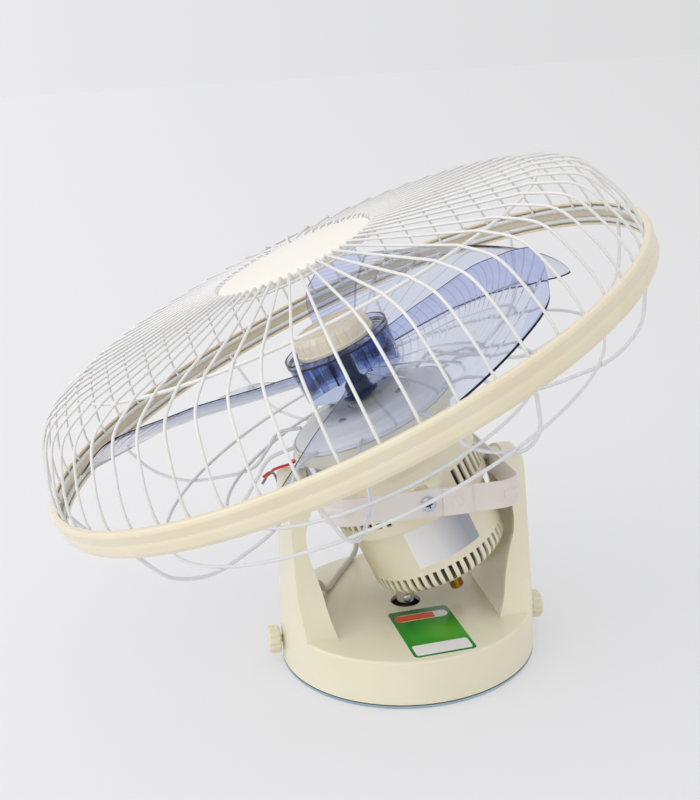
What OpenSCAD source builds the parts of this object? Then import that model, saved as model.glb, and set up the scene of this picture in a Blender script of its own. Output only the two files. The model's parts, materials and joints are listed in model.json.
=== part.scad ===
// Orbital ceiling fan, shown standing on its mounting plate as it is stored.
// Origin: centre of the mounting plate's outer face. +Z points from the plate to the fan,
// +X through the fork's pivots, -Y towards the cap of the strap's lap joint.
// Head frame: origin where the two tilt axes cross, +Z along the motor shaft to the front.

/* [Base] */
// Radius of the mounting plate and of the cover's rim
base_r = 95; // [90:0.5:100]
// Thickness of the mounting plate
plate_t = 2.5; // [2:0.1:3]
// Gap between the plate and the cover's rim
rim_gap = 0.8; // [0.5:0.1:1.5]
// Height of the cover, rim to top face
cover_h = 33; // [28:0.5:36]
// Wall of the cover
cover_wall = 3; // [2:0.1:4]
// Radius of the hole that the crank reaches through
crank_hole_r = 11.3; // [10.5:0.1:14]
// Bolt circle of the ceiling holes
ceiling_pcd = 120; // [100:1:136]
// Diameter of a ceiling hole
ceiling_hole_d = 6.5; // [4:0.1:7]
// Number of ceiling holes
ceiling_holes = 4; // [3:1:4]
// Diameter of the supply opening in the plate
supply_hole_d = 22; // [16:0.5:24]
// Distance of the supply opening from the centre
supply_x = 36; // [32:0.5:40]

/* [Fork] */
// Height of the tilt axes over the plate's outer face
pivot_z = 141.3; // [139:0.1:145]
// Radius of the fork arm's round top
arm_top_r = 28; // [24:0.5:30]
// Radius of the fork's outer face at the top
arm_outer_r = 89.5; // [88:0.1:92]
// Wall of the fork arms
arm_wall = 4; // [3:0.1:5]
// Distance of the arm's foot from the centre plane
arm_foot_x = 60; // [56:0.5:62]
// Radius of the pivot boss
boss_r = 9; // [7:0.5:10]
// Radius of the four pivot screws
pivot_r = 3; // [2.5:0.1:3.5]
// Radius of the pivot screws' heads
pivot_head_r = 5; // [4.5:0.1:5.5]

/* [Strap] */
// Half width of the strap inside, along the fork's pivots
band_in_x = 67; // [66:0.1:67.5]
// Half length of the strap inside, along the motor's pivots
band_in_y = 80.9; // [78:0.1:84]
// Thickness of the strap
band_t = 1.5; // [1.2:0.1:1.8]
// Height of the strap
band_h = 19; // [16:0.5:21]
// Outer radius of the strap's corners
band_corner_r = 19; // [16:0.5:22]
// Place of the rivet beside the front pivot
rivet_x = 20.3; // [18:0.1:24]
// Radius of the rivet's head
rivet_r = 4; // [3:0.1:5]

/* [Orbit] */
// Tilt of the motor shaft away from the ceiling's normal
orbit_tilt = 22.66; // [21:0.01:23]
// Place on the orbit at which the fan is shown
orbit_phase = 171.69; // [168:0.01:174]
// Running clearance of shafts and pivot screws in their bores
run_gap = 0.05; // [0.02:0.01:0.09]
// Side clearance between parts that pass each other
side_gap = 0.3; // [0.2:0.05:0.5]

/* [Motor] */
// Outer radius of the front cover's skirt
front_r = 58.5; // [57:0.1:58.8]
// Outer radius of the front cover's waist
waist_r = 55; // [53:0.1:56]
// Outer radius of the rear cover
rear_r = 52.2; // [51:0.1:54.5]
// Wall of the motor covers
motor_wall = 2.2; // [1.6:0.1:3]
// Place of the seam between the covers
seam_d = -22; // [-23:0.1:-20]
// Place of the rear cover's back face
back_d = -76.4; // [-77:0.1:-74]
// Radius of the seat for the rear guard
seat_r = 62; // [61:0.1:64]
// Place of the seat's front face
seat_d = 49.5; // [47:0.1:51]
// Radius of the nose round the shaft
nose_r = 12; // [10:0.5:14]
// Place of the nose's front face
nose_d = 62.5; // [61:0.1:63]
// Number of slots round the front cover, lugs included
front_slots = 50; // [36:2:60]
// Number of slots round the rear cover
rear_slots = 54; // [36:2:60]
// Width of the front cover's slots
front_slot_w = 3.9; // [2:0.1:4.2]
// Width of the rear cover's slots
rear_slot_w = 2.8; // [1.5:0.1:3]
// Radius of the motor shaft
shaft_r = 4; // [3.5:0.1:5]
// Outer radius of the stator's laminations
stator_r = 47; // [44:0.5:49]
// Radius of the stator's bore
stator_bore_r = 25; // [22:0.5:27]
// Length of the lamination stack
stack_l = 26; // [20:1:32]
// Number of stator slots
stator_slots = 16; // [8:4:16]
// Outer radius of both bearings
bearing_r = 11; // [10.5:0.1:12]

/* [Guards] */
// Radius of the two rim hoops
rim_r = 224.8; // [220:0.1:228]
// Thickness of the rim hoops
rim_wire = 3.2; // [2.8:0.1:3.6]
// Place of the front guard's rim hoop
front_rim_d = 97; // [96:0.1:98]
// Place of the rear guard's rim hoop
rear_rim_d = 88; // [87:0.1:89]
// Number of front guard spokes
front_spokes = 58; // [40:1:64]
// Thickness of a front guard spoke
front_wire = 2; // [1.8:0.1:2.4]
// Number of rear guard spokes
rear_spokes = 10; // [8:1:12]
// Thickness of a rear guard spoke
rear_wire = 2.6; // [2.4:0.1:3]
// Thickness of the guards' inner hoops
hoop_wire = 2.4; // [2.2:0.1:2.8]
// Radius of the front guard's shoulder hoop
shoulder_r = 174.6; // [165:0.1:180]
// Radius of the rear guard's outer floor hoop
outer_hoop_r = 172; // [160:1:176]
// Radius of the rear guard's inner floor hoop
inner_hoop_r = 124; // [110:1:130]
// Gap between the guard's rims and the clip round them
clip_gap = 1.3; // [1.1:0.1:1.6]
// Wall of the guard clip
clip_wall = 1.8; // [1.2:0.1:2]
// Height of the guard clip
clip_h = 19; // [18.5:0.1:21]
// Radius of the cap
cap_r = 58.4; // [50:0.1:62]
// Thickness of the cap
cap_t = 6; // [5:0.1:7]
// Place of the cap's front face
cap_d = 175.5; // [174:0.1:177]

/* [Blades] */
// Radius of the blade tips
tip_r = 200; // [180:1:205]
// Thickness of a blade
blade_t = 1.8; // [1.4:0.1:2.4]
// Angle from one blade's leading edge to its trailing edge at the hub
root_chord = 96; // [80:1:104]
// Sweep of the leading edge from hub to tip
lead_sweep = 46; // [30:1:50]
// Rise of the leading edge towards the tip
lead_rise = 22; // [16:0.5:24]
// Radius of the hub's rim
hub_r = 43.5; // [41:0.1:46]
// Radius of the hub's foot
hub_foot_r = 38; // [36:0.1:40]
// Wall of the hub
hub_wall = 2.2; // [1.8:0.1:2.6]
// Place of the hub's rim
hub_rim_d = 106; // [104:0.1:108]
// Place of the hub's foot
hub_foot_d = 75; // [73:0.1:77]
// Radius of the spinner
spinner_r = 38.5; // [34:0.1:39.5]
// Height of the spinner
spinner_h = 18; // [14:0.5:20]
// Number of flutes round the spinner
flutes = 30; // [12:1:36]

/* [Crank] */
// Width of the crank arm
arm_w = 14; // [12:0.5:15]
// Thickness of the crank arm
arm_t = 2.5; // [2:0.1:3]
// Front face of the crank arm
arm_d = -82; // [-83:0.1:-81]
// Thickness of the crank's bearing block
block_t = 6; // [5:0.1:7]
// Radius of the block's boss
block_boss_r = 6.5; // [5.5:0.1:7]
// Height of the boss's foot over the plate
boss_foot_z = 37.3; // [37.1:0.05:38.5]
// Place of the output shaft's end
output_end_d = -103.8; // [-103.8:0.1:-100]

/* [Thumb screws] */
// Radius of a thumb screw's head
knob_r = 10.5; // [8:0.1:12]
// Thickness of a thumb screw's head
knob_t = 9; // [7:0.1:11]
// Height of the thumb screws over the plate
knob_z = 19; // [17:0.5:21]
// Radius of a thumb screw's shank
knob_shank_r = 2.5; // [2:0.1:3]

/* [Wiring] */
// Thickness of the motor cable
cable_d = 4.4; // [4:0.1:5]
// Thickness of the two supply leads
lead_d = 2; // [1.6:0.1:2.4]

/* [Hidden] */
$fn = 96;

cream = [0.93, 0.88, 0.77];
white = [0.95, 0.95, 0.93];
zinc = [0.72, 0.75, 0.78];
steel = [0.55, 0.56, 0.58];
brass = [0.72, 0.58, 0.2];
copper = [0.72, 0.45, 0.25];
tint = [0.6, 0.66, 0.9, 0.6];
cable_grey = [0.75, 0.73, 0.68];

// Heights of the base
cover_z = plate_t + rim_gap;
top_z = cover_z + cover_h;
post_top_z = top_z - 7;
arm_top_z = pivot_z + 10.7;
edge_round = 1.5;
outer_round = 8;

// Attitude of the strap and of the head at the place shown
ring_angle = -atan2(sin(orbit_tilt) * sin(orbit_phase), cos(orbit_tilt));
head_angle = asin(sin(orbit_tilt) * cos(orbit_phase));

// Pivots
bush_r = pivot_r + 1.7;
flange_r = pivot_r + 4.2;
flange_t = 1;
head_t = 2.4;
lug_end_y = band_in_y - flange_t - side_gap;
band_out_x = band_in_x + band_t;
band_out_y = band_in_y + band_t;
boss_face_x = band_out_x + 0.8;

// Motor lengths
cover_split = 2;
rear_wall_t = 2.4;
bearing_l = 9;
front_bearing_d = 47;
gearbox_r = 29;
gearbox_d = -52;
stack_d = -18;
worm_end_d = gearbox_d - 8;

// Guards
rear_edge_r = rim_r - rim_wire / 2 - rear_wire / 2 + 0.5;
front_edge_r = rim_r - rim_wire / 2 - front_wire / 2 + 0.7;
clip_d = (front_rim_d + rear_rim_d) / 2;
clip_r = rim_r + rim_wire / 2 + clip_gap + clip_wall;
hook_r = cap_r + front_wire / 2 + 0.1;
seat_hoop_r = seat_r - 1.5;
seat_hoop_d = seat_d + hoop_wire / 2;
retainer_d = seat_d + 10.8;
retainer_pcr = 32;

// Crank: the boss hangs on the line through the centre of the fork, square to the ceiling
function line_d(z) = -(pivot_z - z) * cos(orbit_tilt);
function line_r(z) = (pivot_z - z) * sin(orbit_tilt);
crank_angle = atan2(-sin(ring_angle), sin(head_angle) * cos(ring_angle));
arm_z = pivot_z + (arm_d - arm_t) / cos(orbit_tilt);
arm_reach = line_r(arm_z);

// ---- helpers ------------------------------------------------------------------------------

function unit(v) = v / norm(v);
function flat_to(v, t) = unit(v - (v * t) * t);
function last(list) = list[len(list) - 1];

// Point at s (0..1) between b and c on a smooth curve through a, b, c and d
function spline_point(a, b, c, d, s) =
    0.5 * (2 * b + (c - a) * s + (2 * a - 5 * b + 4 * c - d) * s * s + (3 * b - a - 3 * c + d) * s * s * s);

// Smooth curve through a list of points, with a number of steps between neighbours
function smooth(p, steps) = concat([
    for (i = [0 : len(p) - 2])
        for (k = [0 : steps - 1])
            spline_point(p[max(i - 1, 0)], p[i], p[i + 1], p[min(i + 2, len(p) - 1)], k / steps)
], [last(p)]);

function tangents(p) = [
    for (i = [0 : len(p) - 1]) unit(p[min(i + 1, len(p) - 1)] - p[max(i - 1, 0)])
];

// Round bar of n sides along a list of points, square to the list at both ends
module bar(p, d, n = 8, side = [0, 0, 1]) {
    t = tangents(p);
    normals = [for (i = 0, v = flat_to(side, t[0]); i < len(p);
        i = i + 1, v = flat_to(v, t[min(i, len(p) - 1)])) v];
    rings = [
        for (i = [0 : len(p) - 1])
            for (k = [0 : n - 1])
                p[i] + d / 2 * (cos(360 * k / n) * normals[i] + sin(360 * k / n) * cross(t[i], normals[i]))
    ];
    skin = [
        for (i = [0 : len(p) - 2])
            for (k = [0 : n - 1])
                let (a = i * n + k, b = i * n + (k + 1) % n)
                    each [[a, a + n, b], [b, a + n, b + n]]
    ];
    foot = [for (k = [1 : n - 2]) [0, k, k + 1]];
    end = [for (k = [1 : n - 2]) let (e = (len(p) - 1) * n) [e, e + k + 1, e + k]];
    polyhedron(points = rings, faces = concat(skin, foot, end));
}

module at_ring() {
    translate([0, 0, pivot_z]) rotate([ring_angle, 0, 0]) children();
}

module at_head() {
    at_ring() rotate([0, head_angle, 0]) children();
}

module spread(count, start = 0) {
    for (i = [0 : count - 1]) rotate([0, 0, start + i * 360 / count]) children();
}

module hoop(r, d, wire) {
    translate([0, 0, d]) rotate_extrude() translate([r, 0]) circle(d = wire, $fn = 24);
}

// Pan head with a cross recess, its seat at z = 0
module pan_head(r, t) {
    difference() {
        intersection() {
            cylinder(r = r, h = t);
            translate([0, 0, t - r * 1.6]) sphere(r = r * 1.6);
        }
        for (a = [0, 90])
            rotate([0, 0, a]) translate([-r * 0.5, -r * 0.11, t * 0.45]) cube([r, r * 0.22, t]);
    }
}

// ---- base ---------------------------------------------------------------------------------

module mounting_plate() {
    color(zinc) difference() {
        rotate_extrude() polygon([[0, 0], [base_r - 0.8, 0], [base_r, 0.8], [base_r, plate_t], [0, plate_t]]);
        spread(ceiling_holes, 45)
            translate([ceiling_pcd / 2, 0, -1]) cylinder(d = ceiling_hole_d, h = plate_t + 2);
        translate([supply_x, 0, -1]) cylinder(d = supply_hole_d, h = plate_t + 2);
    }
}

tab_w = 18;
tab_t = 2;
tab_x = base_r - cover_wall - tab_t - 0.5;

module plate_tabs() {
    color(zinc) for (side = [0, 180]) rotate([0, 0, side]) difference() {
        union() {
            translate([tab_x, -tab_w / 2, plate_t]) cube([tab_t, tab_w, knob_z + 7 - plate_t]);
            translate([tab_x - 14, -tab_w / 2, plate_t]) cube([15, tab_w, tab_t]);
            translate([tab_x - 4, 0, knob_z]) rotate([0, 90, 0]) cylinder(r = knob_shank_r + 2.5, h = 5);
        }
        translate([tab_x - 6, 0, knob_z]) rotate([0, 90, 0]) cylinder(r = knob_shank_r, h = 12);
    }
}

// Half width of a fork arm against height, and the line of its inner lip
arm_side = [[46.5, top_z], [43, top_z + 13.7], [37, top_z + 29.7], [31.5, top_z + 63.7],
    [arm_top_r, arm_top_z - arm_top_r]];
lip_line = [[arm_foot_x, top_z - 0.01], [arm_foot_x + 4.6, top_z + 15], [arm_foot_x + 8.5, top_z + 34],
    [arm_foot_x + 12.4, top_z + 49], [arm_foot_x + 15.9, pivot_z - 43], [arm_foot_x + 15.9, pivot_z - 28],
    [boss_face_x + 2.4, pivot_z - 15], [boss_face_x + 1.2, pivot_z - 2], [boss_face_x + 4.2, pivot_z + 6],
    [boss_face_x + 5.4, pivot_z + 10], [boss_face_x + 5.4, arm_top_z + 1]];
back_x = arm_outer_r - 5;
ramp_r = 55;
ramp_h = 44;

// Outline of a fork arm seen along X, drawn in by a wall
module arm_outline(wall) {
    side = smooth([for (p = arm_side) [p[0] - wall, p[1]]], 3);
    crown = [for (a = [10 : 10 : 170]) [0, arm_top_z - arm_top_r] + (arm_top_r - wall) * [cos(a), sin(a)]];
    polygon(concat([[side[0][0], cover_z + cover_wall]], side, crown,
        [for (i = [len(side) - 1 : -1 : 0]) [-side[i][0], side[i][1]]], [[-side[0][0], cover_z + cover_wall]]));
}

module along_x(from, to) {
    translate([from, 0, 0]) rotate([90, 0, 90]) linear_extrude(to - from) children();
}

module along_y(half) {
    translate([0, half, 0]) rotate([90, 0, 0]) linear_extrude(2 * half) children();
}

// Round outside of the cover and the fork, set in by a wall
module outer_turn(wall) {
    slope = (base_r - arm_outer_r) / (arm_top_z - top_z);
    rotate_extrude() polygon(concat([[0, cover_z + wall], [base_r - wall, cover_z + wall], [base_r - wall, top_z]],
        [for (a = [0 : 15 : 90])
            [arm_outer_r - wall - outer_round + outer_round * cos(a) + slope * outer_round,
            arm_top_z - wall - outer_round + outer_round * sin(a)]],
        [[0, arm_top_z - wall]]));
}

// Curve of the arm's inner foot, moved outwards by a distance
function ramp(out) = let (
        a = [arm_foot_x, top_z], b = [back_x, top_z + ramp_h], m = (a + b) / 2, h = norm(b - a) / 2,
        away = unit([a[1] - b[1], b[0] - a[0]]), c = m + away * sqrt(ramp_r * ramp_r - h * h),
        start = atan2(a[1] - c[1], a[0] - c[0]), end = atan2(b[1] - c[1], b[0] - c[0]))
    [for (i = [0 : 8]) let (t = start + (end - start) * i / 8) c + (ramp_r + out) * [cos(t), sin(t)]];

rib_reach = sqrt(pow(arm_top_r - arm_wall, 2) - pow(pivot_z - arm_top_z + arm_top_r, 2)) + 0.5;

module fork_arm() {
    difference() {
        intersection() {
            along_x(arm_foot_x - 5, base_r + 1) arm_outline(0);
            outer_turn(0);
        }
        // inner lip
        along_y(60) polygon(concat([[0, 0], [arm_foot_x, 0]], smooth(lip_line, 3), [[0, arm_top_z + 1]]));
        // channel between the side walls, over the curved foot
        intersection() {
            along_x(0, back_x) arm_outline(arm_wall);
            along_y(60) polygon(concat([[0, top_z]], ramp(0), [[back_x, arm_top_z], [0, arm_top_z]]));
        }
        // hollow under the curved foot, open into the base
        intersection() {
            along_x(arm_foot_x - 5, base_r) arm_outline(arm_wall);
            outer_turn(cover_wall);
            along_y(60) polygon(concat([[arm_foot_x + cover_wall, 0]], ramp(cover_wall),
                [[base_r, top_z + ramp_h], [base_r, 0]]));
        }
    }
    // boss and ribs that carry the pivot screw
    difference() {
        union() {
            translate([boss_face_x, 0, pivot_z]) rotate([0, 90, 0]) cylinder(r = boss_r, h = back_x - boss_face_x + 1);
            translate([boss_face_x + 5, -rib_reach, pivot_z - 1.2])
                cube([back_x - boss_face_x - 4, 2 * rib_reach, 2.4]);
        }
        translate([boss_face_x - 1, 0, pivot_z]) rotate([0, 90, 0]) cylinder(r = pivot_r, h = 14);
    }
}

grommet_x = -68;
grommet_y = 14;
grommet_z = top_z + 6;

module base_cover() {
    color(cream) difference() {
        union() {
            rotate_extrude() polygon([[base_r - cover_wall, cover_z], [base_r, cover_z],
                [base_r, top_z - edge_round], [base_r - edge_round * 0.3, top_z - edge_round * 0.3],
                [base_r - edge_round, top_z], [0, top_z], [0, top_z - cover_wall],
                [base_r - cover_wall, top_z - cover_wall]]);
            for (side = [0, 180]) rotate([0, 0, side]) fork_arm();
        }
        translate([0, 0, top_z - cover_wall - 1]) cylinder(r = crank_hole_r, h = cover_wall + 2);
        for (side = [0, 180]) rotate([0, 0, side])
            translate([base_r - 6, 0, knob_z]) rotate([0, 90, 0]) cylinder(r = knob_shank_r + 0.5, h = 10);
        translate([grommet_x, grommet_y, top_z - 8]) cylinder(r = cable_d / 2 + 1.5, h = 30);
        for (exit = [red_exit, grey_exit]) translate([exit[0], exit_y - 4, exit[1]]) rotate([-90, 0, 0])
            cylinder(r = lead_d / 2 + 0.1, h = 12);
        translate([boss_relief_x, arm_top_r - 2, boss_relief_z]) rotate([-90, 0, 0])
            cylinder(r = boss_relief_r, h = 19);
    }
}

// Opening in one arm's back wall that clears the crank's boss at the corner of its sweep
boss_swing = pivot_z - boss_foot_z;
boss_relief_r = block_boss_r + 6;
boss_relief_x = 6 - boss_swing * sin(2 * orbit_tilt);
boss_relief_z = pivot_z + 4 - boss_swing * cos(2 * orbit_tilt) * cos(orbit_tilt);

knob_gap = 1.8;

module cover_thumb_screws() {
    for (side = [0, 180]) rotate([0, 0, side]) translate([base_r + knob_gap, 0, knob_z]) rotate([0, 90, 0]) {
        color(cream) difference() {
            rotate_extrude() polygon([[0, 0], [knob_r - 1.5, 0], [knob_r, 1.5], [knob_r, knob_t - 1.5],
                [knob_r - 1.5, knob_t], [0, knob_t]]);
            spread(12) translate([knob_r + 1, 0, -1]) cylinder(r = 1.9, h = knob_t + 2, $fn = 24);
        }
        color(zinc) translate([0, 0, -14]) cylinder(r = knob_shank_r, h = 14.01);
    }
}

module crank_post() {
    color(zinc) difference() {
        union() {
            translate([0, 0, plate_t]) cylinder(r = 16, h = 2);
            translate([0, 0, plate_t]) cylinder(r = 8, h = post_top_z - plate_t);
        }
        translate([0, 0, post_top_z - 10]) cylinder(r = 4, h = 11);
    }
}

module terminal_block() {
    color(white) translate([-12, 38, plate_t]) difference() {
        cube([24, 16, 14]);
        for (i = [0 : 2]) translate([4 + i * 8, 8, 4]) {
            cylinder(r = 2, h = 11, $fn = 24);
            translate([0, -9, 3]) rotate([-90, 0, 0]) cylinder(r = 1.6, h = 18, $fn = 24);
        }
    }
}

module capacitor() {
    color("white") translate([-20, -56, plate_t]) {
        cube([38, 14, 20]);
        for (x = [8, 30]) translate([x, 7, 19]) cylinder(r = 1.5, h = 6, $fn = 24);
    }
}

module cable_grommet() {
    color(steel) translate([grommet_x, grommet_y, grommet_z - 4]) rotate_extrude()
        polygon([[cable_d / 2, -1], [cable_d / 2 + 1.5, -1], [cable_d / 2 + 1.5, 9], [cable_d / 2, 9]]);
}

module yoke_pivot_screws() {
    color(zinc) for (side = [0, 180]) rotate([0, 0, side])
        translate([band_in_x - flange_t - side_gap, 0, pivot_z]) rotate([0, -90, 0]) {
            pan_head(pivot_head_r, head_t);
            translate([0, 0, -16]) cylinder(r = pivot_r, h = 16.01);
        }
}

// ---- strap --------------------------------------------------------------------------------

module rounded_box(x, y, r, h) {
    linear_extrude(h, center = true) union() {
        square([2 * x - 2 * r, 2 * y], center = true);
        square([2 * x, 2 * y - 2 * r], center = true);
        for (sx = [-1, 1], sy = [-1, 1]) translate([sx * (x - r), sy * (y - r)]) circle(r = r);
    }
}

module pivot_hole(axis_turn, reach) {
    for (side = [0, 180]) rotate([0, 0, side + axis_turn]) translate([reach - 5, 0, 0])
        rotate([0, 90, 0]) cylinder(r = bush_r, h = 10);
}

lap_w = 20;

module gimbal_band() {
    color(white) at_ring() difference() {
        union() {
            difference() {
                rounded_box(band_out_x, band_out_y, band_corner_r, band_h);
                rounded_box(band_in_x, band_in_y, band_corner_r - band_t, band_h + 2);
            }
            // lapped end of the strap
            translate([rivet_x - lap_w / 2, -band_out_y - band_t, -band_h / 2]) cube([lap_w, band_t + 0.1, band_h]);
            // pressed beads round the corners
            for (sx = [0, 1], sy = [0, 1]) mirror([sx, 0, 0]) mirror([0, sy, 0])
                translate([band_out_x - band_corner_r, band_out_y - band_corner_r, 0])
                    rotate([0, 0, 12]) rotate_extrude(angle = 66)
                        polygon([[band_corner_r - 0.5, -3], [band_corner_r, -3], [band_corner_r + 0.9, -1.5],
                            [band_corner_r + 0.9, 1.5], [band_corner_r, 3], [band_corner_r - 0.5, 3]]);
        }
        pivot_hole(0, band_out_x);
        pivot_hole(90, band_out_y);
        translate([rivet_x, -band_in_y + 1, 0]) rotate([90, 0, 0]) cylinder(r = 2, h = 6);
    }
}

module band_rivet() {
    color(white) at_ring() translate([rivet_x, 0, 0]) {
        translate([0, -band_in_y + 1.5, 0]) rotate([90, 0, 0]) cylinder(r = 2, h = 2 * band_t + 1.6);
        translate([0, -band_out_y - band_t, 0]) rotate([90, 0, 0]) intersection() {
            cylinder(r = rivet_r, h = 1.4);
            translate([0, 0, 1.4 - 8]) sphere(r = 8);
        }
        translate([0, -band_in_y + 1.5, 0]) rotate([90, 0, 0]) cylinder(r = 3, h = 1.5);
    }
}

module bush(reach, tail) {
    translate([reach, 0, 0]) rotate([0, 90, 0]) difference() {
        union() {
            translate([0, 0, -flange_t]) cylinder(r = flange_r, h = flange_t);
            cylinder(r = bush_r, h = tail);
        }
        translate([0, 0, -flange_t - 1]) cylinder(r = pivot_r + run_gap, h = tail + 4);
    }
}

module gimbal_bushes() {
    color("ivory") at_ring() for (side = [0, 180]) rotate([0, 0, side]) {
        bush(band_in_x, band_t + 0.5);
        rotate([0, 0, 90]) bush(band_in_y, band_t + 0.3);
    }
}

// ---- head ---------------------------------------------------------------------------------

module head_pivot_screws() {
    color(zinc) at_head() for (side = [90, 270]) rotate([0, 0, side])
        translate([band_out_y + 0.3 + side_gap, 0, 0]) rotate([0, 90, 0]) {
            pan_head(pivot_head_r, head_t + 0.8);
            translate([0, 0, -14]) cylinder(r = pivot_r, h = 14.01);
        }
}

// Lug that reaches out to a pivot at the strap's front or back
module motor_lug() {
    root_w = 44;
    difference() {
        intersection() {
            union() {
                hull() {
                    translate([waist_r - 4, -root_w / 2, -12]) cube([4, root_w, 17]);
                    translate([lug_end_y - 3, 0, 0]) rotate([0, 90, 0]) cylinder(r = 8, h = 3, $fn = 32);
                }
                translate([waist_r, 0, 0]) rotate([0, 90, 0]) cylinder(r = 8, h = lug_end_y - waist_r);
            }
            translate([0, -40, -40]) cube([lug_end_y, 80, 80]);
        }
        cylinder(r = front_r - motor_wall, h = 60, center = true);
        translate([lug_end_y - 16, 0, 0]) rotate([0, 90, 0]) cylinder(r = pivot_r, h = 20);
        // open pocket above the pivot
        translate([lug_end_y - 13, -5.5, pivot_r + 0.8]) cube([10, 11, 20]);
    }
}

// Outline of the front cover from the seam to the nose, set in by a wall
function front_outline(wall) = [
    [front_r - wall, seam_d], [front_r - wall, 4], [front_r - wall - 0.8, 8],
    [waist_r - wall, 14], [waist_r - wall, 34], [seat_r - wall - 3, 39 + wall * 0.4],
    [seat_r - wall, 41 + wall * 0.4], [seat_r - wall, seat_d - wall]];

module motor_front_cover() {
    slot_h = 15.5;
    slot_foot_d = -14.5;
    lug_half = 24;
    color(cream) at_head() difference() {
        union() {
            rotate_extrude() polygon(concat(front_outline(0), [[nose_r + 9, seat_d], [nose_r + 8, seat_d + 5],
                [nose_r, seat_d + 7], [nose_r, nose_d - 0.8], [nose_r - 0.8, nose_d], [shaft_r + 1, nose_d],
                [shaft_r + 1, front_bearing_d + bearing_l], [bearing_r, front_bearing_d + bearing_l],
                [bearing_r, front_bearing_d], [bearing_r + 3, front_bearing_d]],
                [for (i = [len(front_outline(motor_wall)) - 1 : -1 : 0]) front_outline(motor_wall)[i]]));
            for (side = [90, 270]) rotate([0, 0, side]) motor_lug();
        }
        for (i = [0 : front_slots - 1]) let (a = (i + 0.5) * 360 / front_slots)
            if (abs(sin(a)) < cos(lug_half)) rotate([0, 0, a])
                translate([front_r - motor_wall - 3, -front_slot_w / 2, slot_foot_d]) cube([10, front_slot_w, slot_h]);
        spread(4, 45) translate([retainer_pcr, 0, seat_d - 6]) cylinder(r = 1.6, h = 10, $fn = 24);
    }
}

// Outline of the rear cover from its back face to the seam, set in by a wall
function rear_outline(wall) = concat(
    [for (a = [-90 : 15 : 0]) [rear_r - wall, back_d + 9] + [-9, 0] + (9 - wall) * [cos(a), sin(a)] + [wall, 0]],
    [[rear_r - wall, -58], [rear_r - wall, seam_d - cover_split]]);

module motor_rear_cover() {
    slot_h = 12.5;
    color(cream) at_head() difference() {
        union() {
            rotate_extrude() polygon(concat([[gearbox_r + 0.3, back_d]], rear_outline(0),
                [[front_r - motor_wall - 0.3, seam_d - cover_split], [front_r - motor_wall - 0.3, seam_d + 4],
                [rear_r - motor_wall, seam_d + 4]],
                [for (i = [len(rear_outline(motor_wall)) - 1 : -1 : 0]) rear_outline(motor_wall)[i]],
                [[gearbox_r + 0.3, back_d + rear_wall_t]]));
        }
        spread(rear_slots) translate([rear_r - 13, -rear_slot_w / 2, back_d + rear_wall_t]) cube([20, rear_slot_w, slot_h]);
        rotate([0, 0, relief_angle]) translate([rear_r - 6, 0, relief_d]) rotate([0, 90, 0])
            cylinder(r = cable_d / 2 + 1.5, h = 12);
    }
}

relief_angle = 112;
relief_d = -40;

module strain_relief() {
    color(steel) at_head() rotate([0, 0, relief_angle]) translate([rear_r - motor_wall - 2, 0, relief_d])
        rotate([0, 90, 0]) difference() {
            union() {
                cylinder(r = cable_d / 2 + 1.5, h = motor_wall + 2);
                translate([0, 0, motor_wall + 2]) cylinder(r1 = cable_d / 2 + 3, r2 = cable_d / 2 + 1.2, h = 8);
            }
            translate([0, 0, -1]) cylinder(r = cable_d / 2, h = 20);
        }
}

bolt_circle_r = 43;
ear_d = gearbox_d - 12;

// Long screws that clamp the gearbox's ears to the stator
module stator_screws() {
    color(steel) at_head() spread(4, 45) translate([bolt_circle_r, 0, ear_d]) {
        cylinder(r = 1.8, h = stack_d + stack_l + 3.5 - ear_d);
        mirror([0, 0, 1]) pan_head(3.4, 2.2);
        translate([0, 0, stack_d + stack_l - ear_d]) cylinder(r = 3.4, h = 3, $fn = 6);
    }
}

module stator_core() {
    tooth_r = stator_bore_r + 14;
    color(steel) at_head() translate([0, 0, stack_d]) difference() {
        cylinder(r = stator_r, h = stack_l);
        translate([0, 0, -1]) cylinder(r = stator_bore_r, h = stack_l + 2);
        spread(stator_slots) translate([stator_bore_r + 3, -3, -1]) cube([tooth_r - stator_bore_r, 6, stack_l + 2]);
        spread(stator_slots) translate([stator_bore_r - 2, -1, -1]) cube([8, 2, stack_l + 2]);
        spread(4, 45) translate([bolt_circle_r, 0, -1]) cylinder(r = 1.8, h = stack_l + 2);
    }
}

module stator_windings() {
    rise = 9;
    color(copper) at_head() for (end = [stack_d - rise, stack_d + stack_l])
        spread(stator_slots / 2) translate([stator_bore_r + 10, 0, end + rise / 2]) rotate([90, 0, 90])
            linear_extrude(7.4, center = true) difference() {
                square([19, rise], center = true);
                square([11, rise - 5], center = true);
            }
}

module bearing(d, length) {
    translate([0, 0, d]) rotate_extrude() polygon([[shaft_r + run_gap, 0], [bearing_r - 0.6, 0], [bearing_r, 0.6],
        [bearing_r, length - 0.6], [bearing_r - 0.6, length], [shaft_r + run_gap, length]]);
}

module front_bearing() {
    color(brass) at_head() bearing(front_bearing_d, bearing_l);
}

module rear_bearing() {
    color(brass) at_head() bearing(gearbox_d - bearing_l + 3, bearing_l);
}

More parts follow.
